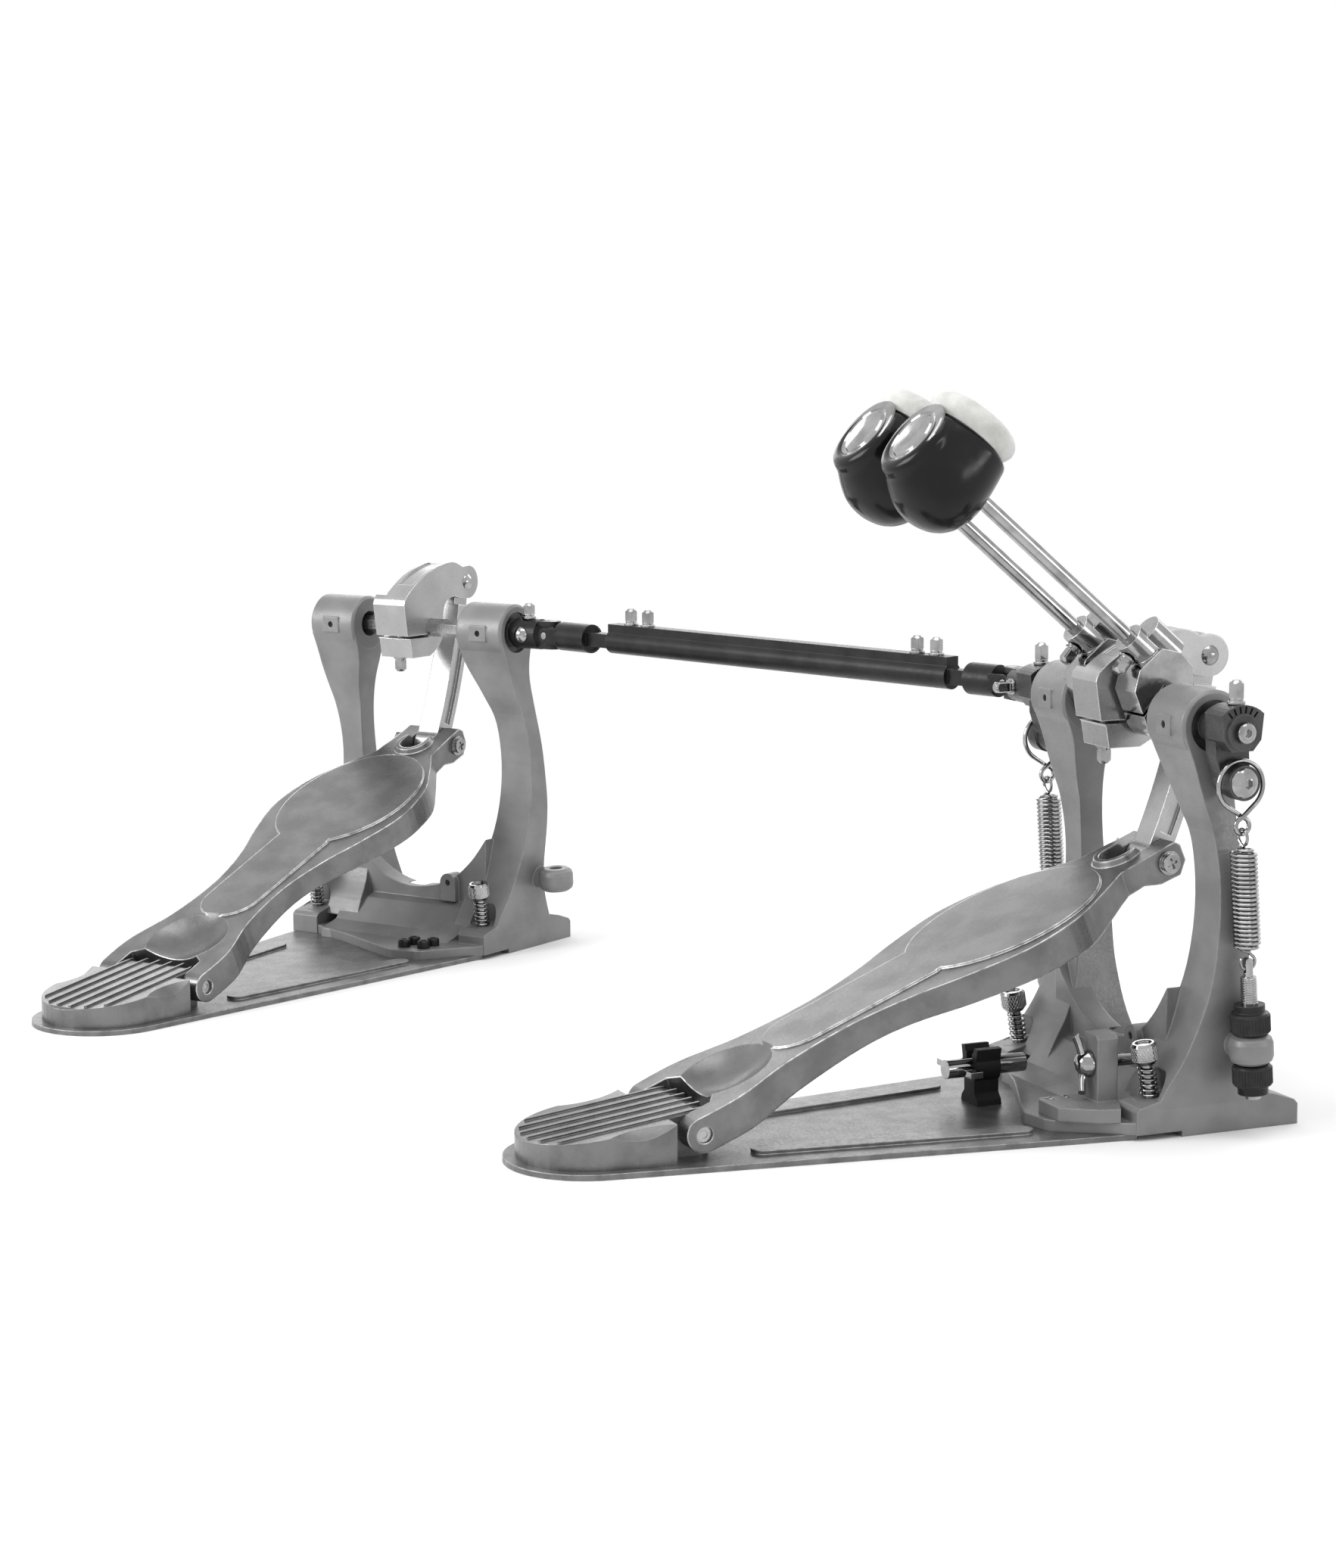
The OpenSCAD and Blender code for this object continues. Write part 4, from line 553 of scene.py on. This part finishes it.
for side, word in SIDES:
    loop = arc_points((0, LOOP_C), DROP_R, LEAN - 90, 270 - LEAN, LOOP_STEPS)
    eye = arc_points((0, EYE_C), EYE_R, 90 - LEAN, LEAN - 270, EYE_STEPS)
    path = laid(loop, BEND_SIDE, -BEND_SIDE) + [(-LEG_SIDE, 0, CROSS_Z)]
    path += laid(eye, -BEND_SIDE, BEND_SIDE) + [(LEG_SIDE, 0, CROSS_Z)]
    bm = bmesh.new()
    sweep_wire(bm, path, DROP_WIRE / 2, sides=14, closed=True)
    make_piece(word + "_teardrop_wire", bm, spring_line(side), word + "_teardrop", chrome,
               word + "_teardrop")
print("teardrops: loop radius", DROP_R, "mm")

# %% [markdown]
# Four spikes in the frames' feet keep the pedals from creeping. Each is a screw with a knurled
# head, and a spring under the head holds its setting. Stripes in the material could suggest the
# thread, but its outline shows against the light, so a triangle is spun with a rise. The spring
# sits between the foot it stands on and the spike that presses it, and is tied to neither.

# %% Springs and threads of the floor spikes
SPIKE_R, SPIKE_WIRE, SPIKE_CURLS = 3.0, 1.2, 6
SPIKE_COIL_W, SPIKE_COIL_L = 9.5, 17.0    # over the wire
SPIKE_COIL_R = (SPIKE_COIL_W - SPIKE_WIRE) / 2
SPIKE_PITCH = (SPIKE_COIL_L - SPIKE_WIRE) / SPIKE_CURLS
SPIKE_COIL_Z = SPIKE_WIRE / 2 + 0.15
SPIKE_FREE = (0.9, 16.4)                  # between these heights the spring is squashed
SPIKE_CUT = (0.8, 16.8)                   # between these the spike shows its thread
ROOT = 0.15                               # a ridge starts this far inside its rod
FLANK = 0.4                               # half the ridge's width, as a share of the pitch
FINE_PITCH, FLUSH = 1.0, 0.0              # a fine thread whose crests are flush with the CAD


def add_triangle(bm, corners):
    verts = [bm.verts.new(p) for p in corners]
    return verts + [bm.edges.new((verts[i], verts[(i + 1) % 3])) for i in range(3)]


def thread(bm, radius, z0, z1, pitch, height, steps=14):
    """Spin a triangle with a rise, as a lathe cuts a thread."""
    ridge = add_triangle(bm, ((radius - ROOT, 0, z0 - pitch * FLANK), (radius + height, 0, z0),
                              (radius - ROOT, 0, z0 + pitch * FLANK)))
    count = int((z1 - z0) / pitch * steps)
    bmesh.ops.spin(bm, geom=ridge, cent=(0, 0, 0), axis=(0, 0, 1),
                   dvec=(0, 0, pitch / steps), angle=2 * math.pi * count / steps, steps=count)
    bmesh.ops.holes_fill(bm, edges=[e for e in bm.edges if e.is_boundary], sides=3)


for pedal, spot in PEDALS:
    for side, word in SIDES:
        place = spot @ spike_seat(side)
        stem = pedal + "_" + word
        ends = [tuple(METRES @ place @ Vector((0, 0, t))) for t in SPIKE_FREE]
        bm = bmesh.new()
        path = coil_points(SPIKE_COIL_R, SPIKE_COIL_Z, SPIKE_PITCH, SPIKE_CURLS)
        sweep_wire(bm, path, SPIKE_WIRE / 2, sides=8)
        make_piece(stem + "_spike_coil", bm, place,
                   (pedal + "_base", stem + "_spike", ends[0], ends[1]), chrome,
                   stem + "_spike_spring")
        bm = bmesh.new()
        thread(bm, SPIKE_R, *SPIKE_CUT, FINE_PITCH, FLUSH)
        make_piece(stem + "_spike_thread", bm, place, stem + "_spike", chrome)
print("spikes: 4 springs and 4 threads")

# %% [markdown]
# A knurled grip is a cylinder crossed by two sets of slanting ridges. A bump could suggest them,
# but the grip's outline would stay smooth. Each ridge here is a thin bar that is spun round the
# grip with a small rise, once to the left and once to the right, and the two sets together read
# as the diamond pattern of a rolled knurl.

# %% Diamond knurl for the spike heads
SPIKE_HEAD_Z = 17.4
GRIP_R, GRIP_LOW, GRIP_HIGH = 6.42, SPIKE_HEAD_Z + 2.3, SPIKE_HEAD_Z + 9.5
KNURLS, KNURL_RISE, KNURL_H, KNURL_HALF, KNURL_ROOT = 26, 0.55, 0.28, 0.36, 0.1


def diamond_knurl(bm, radius, z0, z1, steps=5):
    swing = KNURL_RISE * (z1 - z0) / radius
    section = ((radius - KNURL_ROOT, -KNURL_HALF, z0), (radius + KNURL_H, 0, z0),
               (radius - KNURL_ROOT, KNURL_HALF, z0))
    for way in (1, -1):
        for k in range(KNURLS):
            turned = Matrix.Rotation(2 * math.pi * k / KNURLS, 3, "Z")
            ridge = add_triangle(bm, [turned @ Vector(p) for p in section])
            bmesh.ops.spin(bm, geom=ridge, cent=(0, 0, 0), axis=(0, 0, 1),
                           dvec=(0, 0, (z1 - z0) / steps), angle=way * swing, steps=steps)
    bmesh.ops.holes_fill(bm, edges=[e for e in bm.edges if e.is_boundary], sides=3)


for pedal, spot in PEDALS:
    for side, word in SIDES:
        stem = pedal + "_" + word
        bm = bmesh.new()
        diamond_knurl(bm, GRIP_R, GRIP_LOW, GRIP_HIGH)
        make_piece(stem + "_spike_knurl", bm, spot @ spike_seat(side), stem + "_spike", chrome,
                   smooth=False)
print("spike heads: knurled")

# %% [markdown]
# A tension rod is threaded, so that its knobs can pull the spring tighter. The CAD's rod is
# plain. Cutting into it would change the CAD mesh, so a thin ridge is laid round it instead,
# from the upper knob to the eye.

# %% Threads of the tension rods
HALF_LUG, KNOB_GAP, KNOB_H = 7.25, 0.4, 15.0
KNOB_TOP = HALF_LUG + KNOB_GAP + KNOB_H
ROD_R, ROD_PITCH, ROD_RIDGE = 3.9, 1.25, 0.4
ROD_CUT = (KNOB_TOP + 0.6, HOOK_LOW - 8.2)

for side, word in SIDES:
    bm = bmesh.new()
    thread(bm, ROD_R, *ROD_CUT, ROD_PITCH, ROD_RIDGE)
    make_piece(word + "_rod_thread", bm, spring_line(side), "main_base", spring_steel)
print("tension rods: threads from", round(ROD_CUT[0], 1), "to", round(ROD_CUT[1], 1), "mm")

# %% [markdown]
# The wing bolt clamps the drum's hoop. Its head is cast: a dome with two lobes. Sculpting or a
# subdivided cage could give them, but a lathed dome and two swept bars need few values. Each bar
# follows a bent line and is then flattened, and the two run into the dome.

# %% Wing bolt
WING_PLACE = shift(50, -52.3, 34.5) @ turn(90, "X")
BOLT_TIP, BOLT_R, BOLT_EDGE = -28.3, 3.0, 0.5
BOLT_CUT = (BOLT_TIP + 0.8, BOLT_TIP + 15.6)
DOME_R, DOME_H, DOME_FOOT, DOME_EDGE = 7.0, 6.5, 1, 0.3
LOBE_LINE = [(0, 0, 0), (-0.3, 4, 0.6), (-0.9, 7, 1.3), (-1.8, 10, 2.2), (-3.0, 12.6, 3.2),
             (-3.7, 13.8, 3.7)]
LOBE_R, LOBE_FLAT, LOBE_Z = 2.7, 0.62, 3.6

bm = bmesh.new()
dome = [(DOME_R * math.cos(math.radians(a)), DOME_FOOT + DOME_H * math.sin(math.radians(a)))
        for a in range(0, 91, 10)]
lathe(bm, [(0, BOLT_TIP), (BOLT_R - BOLT_EDGE, BOLT_TIP), (BOLT_R, BOLT_TIP + BOLT_EDGE),
           (BOLT_R, 0), (DOME_R - DOME_EDGE, 0), (DOME_R, DOME_EDGE)] + dome, segments=40)
for way in (1, -1):
    lobe = bmesh.new()
    sweep_wire(lobe, LOBE_LINE, LOBE_R, sides=14)
    bmesh.ops.scale(lobe, vec=(1, 1, LOBE_FLAT), verts=lobe.verts)
    bmesh.ops.transform(lobe, matrix=turn(90 - 90 * way, "Z") @ shift(0, 0, LOBE_Z),
                        verts=lobe.verts)
    half = bpy.data.meshes.new("lobe")
    lobe.to_mesh(half)
    lobe.free()
    bm.from_mesh(half)
    bpy.data.meshes.remove(half)
make_piece("wing_bolt_cast", bm, WING_PLACE, "wing_bolt", chrome, "wing_bolt")
bm = bmesh.new()
thread(bm, BOLT_R, *BOLT_CUT, FINE_PITCH, FLUSH)
make_piece("wing_bolt_thread", bm, WING_PLACE, "wing_bolt", chrome)
print("wing bolt: two lobes")

# %% [markdown]
# A beater is a moulded black body with a thick felt pad on its striking face. The body's CAD mesh
# is a faceted hull, and a bevel would leave its flats. So a merged copy is brought to the origin,
# given a lip round the cap, remeshed in small voxels, drawn part of the way towards a ball and
# smoothed, which rounds it as a moulding is rounded.

# %% Beater bodies
BEATERS = (("right", 22.0), ("left", -32.0))
HEAD_MID, CAP_Y = 173.5, 6.0              # the body's middle; the cap's, seen from there
LIP_R, LIP_Z, LIP_T = 19.2, 23.4, 4.7     # the rounded shoulder round the cap
LIP_ANGLES = [math.radians(d) for d in range(-230, 51, 10)]     # open towards the felt
VOXEL, BALL_R, BALL_SHARE = 1.1, 25.4, 0.32
SOFTENING, SOFT_PASSES = 0.5, 24
TOUCHING = 1e-6                           # metres

for word, x in BEATERS:
    bm = bmesh.new()
    bm.from_mesh(nodes[word + "_beater_head"].data)
    bmesh.ops.remove_doubles(bm, verts=bm.verts, dist=TOUCHING)
    seat = METRES @ beater_line(x) @ shift(0, -CAP_Y, HEAD_MID)
    bmesh.ops.transform(bm, matrix=seat.inverted(), verts=bm.verts)
    sweep_wire(bm, [(LIP_R * math.cos(a), CAP_Y + LIP_R * math.sin(a), LIP_Z)
                    for a in LIP_ANGLES], LIP_T, sides=24)
    mesh = bpy.data.meshes.new(word + "_beater_body")
    bm.to_mesh(mesh)
    bm.free()
    body = bpy.data.objects.new(word + "_beater_body", mesh)
    bpy.context.scene.collection.objects.link(body)
    body.modifiers.new("voxels", "REMESH").voxel_size = VOXEL
    swell = body.modifiers.new("swell", "CAST")
    swell.factor, swell.size, swell.use_radius_as_size = BALL_SHARE, BALL_R, False
    soften = body.modifiers.new("soften", "SMOOTH")
    soften.factor, soften.iterations = SOFTENING, SOFT_PASSES
    bpy.context.view_layer.update()
    baked = bpy.data.meshes.new_from_object(
        body.evaluated_get(bpy.context.evaluated_depsgraph_get()))
    baked.transform(seat)
    body.modifiers.clear()
    body.data = baked
    for face in baked.polygons:
        face.use_smooth = True
    baked.materials.clear()
    baked.materials.append(beater_black)
    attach(body, word + "_beater")
    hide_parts(word + "_beater_head")
    print(body.name, len(baked.polygons), "faces")

# %% [markdown]
# The pad is a thick disc of pressed felt with a rounded rim. A cloth simulation would be wrong
# for it, since it neither folds nor sags. Its outline is lathed, and two noises lift the surface
# a little: a wide one for tufts and a narrow one for fibres. The back stays flat on the body.

# %% Felt pads
PAD_R, FELT_T, SEAM, PAD_Z = 23.2, 11.0, 19.0, HEAD_MID + 2.0
SUNK, BACK_R, BACK_EDGE, BACK_FLAT = 2.0, 12, 1.6, -1.5
RIM_W, RIM_H, RIM_IN = 7.6, 6.2, 6.6      # the rounded rim of the pad
RIM_ANGLES = [math.radians(d) for d in range(-15, 91, 7)]
CROWN, CROWN_R, CROWN_RADII = 1.0, 17, (14, 10.5, 7, 3.5, 0)
TUFT_LIFT, TUFT_SCALE, FIBRE_LIFT, FIBRE_SCALE = 0.22, 0.55, 0.13, 1.7


def fuzzy(v, seed):
    return (TUFT_LIFT * noise.noise(Vector(v) * TUFT_SCALE + seed)
            + FIBRE_LIFT * noise.noise(Vector(v) * FIBRE_SCALE))


for word, x in BEATERS:
    profile = [(0, -SUNK), (BACK_R, -SUNK), (PAD_R - BACK_EDGE, -SUNK)]
    profile += [(PAD_R - RIM_IN + RIM_W * math.cos(a), FELT_T - RIM_H + RIM_H * math.sin(a))
                for a in RIM_ANGLES]
    profile += [(r, FELT_T + CROWN * (1 - (r / CROWN_R) ** 2)) for r in CROWN_RADII]
    bm = bmesh.new()
    lathe(bm, profile, segments=72)
    bmesh.ops.subdivide_edges(bm, edges=bm.edges, cuts=1, use_grid_fill=True)
    bm.normal_update()
    seed = Vector((x, 0, 0))
    for v in bm.verts:
        if v.co.z > BACK_FLAT:
            v.co += v.normal * fuzzy(v.co, seed)
    place = beater_line(x) @ shift(0, SEAM, PAD_Z) @ turn(-90, "X")
    pad = make_piece(word + "_felt_pad", bm, place, word + "_beater", felt,
                     word + "_beater_felt")
print("felt pads:", FELT_T, "mm thick")

# %% [markdown]
# Small screws finish the castings. The hexagonal hole in a head could be cut by a boolean, which
# leaves long thin faces. Here the head is lathed with an open top, a hexagon is bridged to its
# rim, and the hexagon's edges are pushed down as walls. The screws sit in the holes and on the
# pads that the CAD leaves for them.

# %% Socket screws
SET_SCREW_X, SET_SCREW_Y = 60.3, -17.0    # on the pad in front of each bearing
ROCKER_SCREW_X = 105.2
CLAMP_TOP, CLAMP_SCREWS = 14.6, ((41, -69), (41, -60))
PLATE_TOP, PLATE_SCREWS = 9.4, ((38, -70), (38, -60), (51, -67), (51, -57))
HEAD_FOOT, FOOT_SHARE = -0.6, 0.86        # a head starts just under the face it sits on
SOCKET_SHARE, DEEP_SHARE, DEEP_MOST, LEVEL = 0.98, 0.75, 2.2, 1e-4


def socket_screw(name, place, body, material, radius, head, socket, edge):
    bm = bmesh.new()
    lathe(bm, [(radius * FOOT_SHARE, HEAD_FOOT), (radius, HEAD_FOOT), (radius, head - edge),
               (radius - edge, head), (socket, head)], segments=24)
    deep = min(head * DEEP_SHARE, DEEP_MOST)
    hexagon = bmesh.ops.create_circle(bm, radius=socket * SOCKET_SHARE, segments=6,
                                      matrix=Matrix.Translation((0, 0, head)))["verts"]
    sides = edges_of(hexagon)
    top = [e for e in bm.edges if e.is_boundary and e not in sides
           and all(abs(v.co.z - head) < LEVEL for v in e.verts)]
    bmesh.ops.bridge_loops(bm, edges=sides + top)
    walls = bmesh.ops.extrude_edge_only(bm, edges=sides)["geom"]
    low = [g for g in walls if isinstance(g, bmesh.types.BMVert)]
    bmesh.ops.translate(bm, vec=(0, 0, -deep), verts=low)
    bmesh.ops.contextual_create(bm, geom=low)
    make_piece(name, bm, place, body, material, smooth=False)


def rocker_screw_place(side):
    return facing((side * ROCKER_SCREW_X, 0, SHAFT_H), (side, 0, 0))


for pedal, spot in PEDALS:
    for side, word in SIDES:
        socket_screw(pedal + "_" + word + "_set_screw",
                     spot @ facing((side * SET_SCREW_X, SET_SCREW_Y, SHAFT_H), (0, -1, 0)),
                     pedal + "_base", black_oxide,
                     radius=1.9, head=0.5, socket=1.0, edge=0.2)
for i, (x, y) in enumerate(CLAMP_SCREWS, 1):
    socket_screw("clamp_screw_%d" % i, shift(x, y, CLAMP_TOP), "main_base", ground_steel,
                 radius=2.3, head=2.0, socket=1.2, edge=0.35)
for i, (x, y) in enumerate(PLATE_SCREWS, 1):
    socket_screw("remote_plate_screw_%d" % i, REMOTE @ shift(x, y, PLATE_TOP), "remote_base",
                 black_oxide, radius=4.0, head=4.6, socket=2.1, edge=1.0)
for side, word in SIDES:
    socket_screw(word + "_rocker_screw", rocker_screw_place(side), word + "_shaft", chrome,
                 radius=4.9, head=3.6, socket=2.4, edge=0.7)
print("socket screws: on the bearings, the clamp, the remote plate and the rockers")

# %% [markdown]
# The screw that holds a roller has a straight knurl round its head, so that fingers can start it.
# A bump in the material would leave its outline smooth. A loop of small three-sided bars, each
# half sunk in the head, shows as teeth at the rim too.

# %% Straight knurl on the roller screws
TEETH, TEETH_R, TEETH_LOW, TEETH_HIGH = 34, 4.85, 0.2, 2.8
TOOTH_H, TOOTH_HALF, TOOTH_R = 0.3, 0.28, 0.28 + 0.1


def tooth_row(bm, radius, z0, z1, count):
    for k in range(count):
        made = bmesh.ops.create_cone(bm, cap_ends=True, segments=3, radius1=TOOTH_R,
                                     radius2=TOOTH_R, depth=z1 - z0)["verts"]
        spot = Matrix.Rotation(2 * math.pi * k / count, 4, "Z")
        spot = spot @ shift(radius + TOOTH_H - TOOTH_HALF, 0, (z0 + z1) / 2)
        bmesh.ops.transform(bm, matrix=spot, verts=made)


for side, word in SIDES:
    bm = bmesh.new()
    tooth_row(bm, TEETH_R, TEETH_LOW, TEETH_HIGH, TEETH)
    make_piece(word + "_rocker_screw_knurl", bm, rocker_screw_place(side), word + "_shaft",
               chrome, smooth=False)
print("roller screws:", TEETH, "teeth each")

# %% [markdown]
# The right rocker's fan face carries a scale, so that both beaters can be set to the same angle.
# It could be a drawing in the material, but six short strokes are quicker as thin bars on the
# face, each turned about the shaft, and they stay sharp however close the camera comes.

# %% Scale strokes on the right rocker
FACE_X, STROKE_AT, STROKE = 104.0, (0, 0, 11.1), (0.5, 0.75, 3.2)
STROKE_ANGLES = (-40, -24, -8, 8, 24, 40)

bm = bmesh.new()
for degrees in STROKE_ANGLES:
    made = bmesh.ops.create_cube(bm, size=1.0)["verts"]
    bmesh.ops.scale(bm, vec=STROKE, verts=made)
    bmesh.ops.translate(bm, vec=STROKE_AT, verts=made)
    bmesh.ops.transform(bm, matrix=turn(degrees, "X"), verts=made)
make_piece("right_rocker_scale", bm, shift(FACE_X, 0, SHAFT_H), "right_shaft", mark_black,
           smooth=False)
print("rocker scale:", len(STROKE_ANGLES), "strokes")

# %% [markdown]
# The picture is taken in a white studio. The camera and the mirrors see an even white. Rough
# surfaces are lit by a sky that is darker towards the floor, because even light from all sides
# would flatten every shape. One world can hold both, with a switch on the kind of ray.

# %% World
SKY_FROM, SKY_TO, SKY_DARK, SKY_BRIGHT = -0.1, 0.7, 0.25, 0.95
WHITE = (1, 1, 1, 1)


def rays_that_see(tree):
    paths = add(tree, "ShaderNodeLightPath")
    total = paths.outputs["Is Camera Ray"]
    for kind in ("Is Glossy Ray", "Is Transmission Ray"):
        either = add(tree, "ShaderNodeMath", operation="ADD", use_clamp=True)
        tree.links.new(total, either.inputs[0])
        tree.links.new(paths.outputs[kind], either.inputs[1])
        total = either.outputs[0]
    return total


scene = bpy.context.scene
scene.view_settings.view_transform = "Standard"
world = bpy.data.worlds.new("studio")
scene.world = world
world.use_nodes = True
sky = world.node_tree
backdrop = sky.nodes["Background"]
lit = add(sky, "ShaderNodeBackground")
gradient_at = add(sky, "ShaderNodeTexCoord")
split = add(sky, "ShaderNodeSeparateXYZ")
sky.links.new(gradient_at.outputs["Generated"], split.inputs["Vector"])
height = remap(sky, split.outputs["Z"], SKY_FROM, SKY_TO, SKY_DARK, SKY_BRIGHT)
choose = add(sky, "ShaderNodeMixShader")
sky.links.new(height, lit.inputs["Strength"])
put(backdrop, Strength=1.0)
backdrop.inputs["Color"].default_value = WHITE
lit.inputs["Color"].default_value = WHITE
sky.links.new(rays_that_see(sky), choose.inputs["Fac"])
sky.links.new(lit.outputs["Background"], choose.inputs[1])
sky.links.new(backdrop.outputs["Background"], choose.inputs[2])
sky.links.new(choose.outputs["Shader"], sky.nodes["World Output"].inputs["Surface"])
print("world:", world.name)

# %% [markdown]
# A studio floor is a white sweep without an end. A bent backdrop could be modelled, but its curve
# would show in the chrome. A flat disc is enough when its material fades, away from the pedal,
# into a glow as white as the background. Near the pedal it keeps the shadow.

# %% Floor
FLOOR_R, FLOOR_MIDDLE, FADE_FROM, FADE_TO = 6.0, (-0.3, -0.1, 0), 0.45, 1.1
FLOOR_WHITE = (0.86, 0.86, 0.86, 1)

bm = bmesh.new()
bmesh.ops.create_circle(bm, cap_ends=True, radius=FLOOR_R, segments=64)
floor_mesh = bpy.data.meshes.new("studio_floor")
bm.to_mesh(floor_mesh)
bm.free()
floor = bpy.data.objects.new("studio_floor", floor_mesh)
scene.collection.objects.link(floor)
floor_mat = bpy.data.materials.new("studio_floor")
floor_mat.use_nodes = True
paper = floor_mat.node_tree
floor_shader = put(paper.nodes["Principled BSDF"], Roughness=0.9, Specular_IOR_Level=0.1)
floor_shader.inputs["Base Color"].default_value = FLOOR_WHITE
glow = put(add(paper, "ShaderNodeEmission"), Strength=1.0)
paper_coords = add(paper, "ShaderNodeTexCoord")
reach = add(paper, "ShaderNodeVectorMath", operation="DISTANCE")
reach.inputs[1].default_value = FLOOR_MIDDLE
paper.links.new(paper_coords.outputs["Object"], reach.inputs[0])
fade = remap(paper, reach.outputs["Value"], FADE_FROM, FADE_TO)
seen = add(paper, "ShaderNodeMath", operation="MULTIPLY")
paper.links.new(fade, seen.inputs[0])
paper.links.new(rays_that_see(paper), seen.inputs[1])
blend_floor = add(paper, "ShaderNodeMixShader")
paper.links.new(seen.outputs[0], blend_floor.inputs["Fac"])
paper.links.new(floor_shader.outputs["BSDF"], blend_floor.inputs[1])
paper.links.new(glow.outputs["Emission"], blend_floor.inputs[2])
paper.links.new(blend_floor.outputs["Shader"],
                paper.nodes["Material Output"].inputs["Surface"])
floor_mesh.materials.append(floor_mat)
print("floor: a disc of", FLOOR_R, "m radius")

# %% [markdown]
# Metal shows the shape of its lamps, so area lamps stand in for a studio's soft boxes, where a
# point or a sun would leave hard spots. The largest hangs overhead, the strongest stands on the
# player's side, and three weak ones draw the outlines of the other flanks.

# %% Lamps
AIM = (-0.25, -0.05, 0.1)
LAMPS = (("overhead", (0.2, -0.3, 2.2), (2.2, 1.4), 20),        # name, place, size, watts
         ("player_side", (-0.5, -2.3, 1.0), (1.6, 1.0), 34),
         ("drum_side", (-1.2, 1.8, 1.4), (1.2, 1.2), 9),
         ("far_side", (-2.6, 0.4, 1.0), (1.8, 0.9), 9),
         ("flank_side", (2.0, 1.5, 0.5), (1.4, 0.35), 7))

for name, at, size, watts in LAMPS:
    data = bpy.data.lights.new(name, "AREA")
    data.shape, data.size, data.size_y, data.energy = "RECTANGLE", size[0], size[1], watts
    lamp = bpy.data.objects.new(name, data)
    lamp.matrix_world = facing(at, Vector(at) - Vector(AIM))
    scene.collection.objects.link(lamp)
print("lamps:", len(LAMPS))
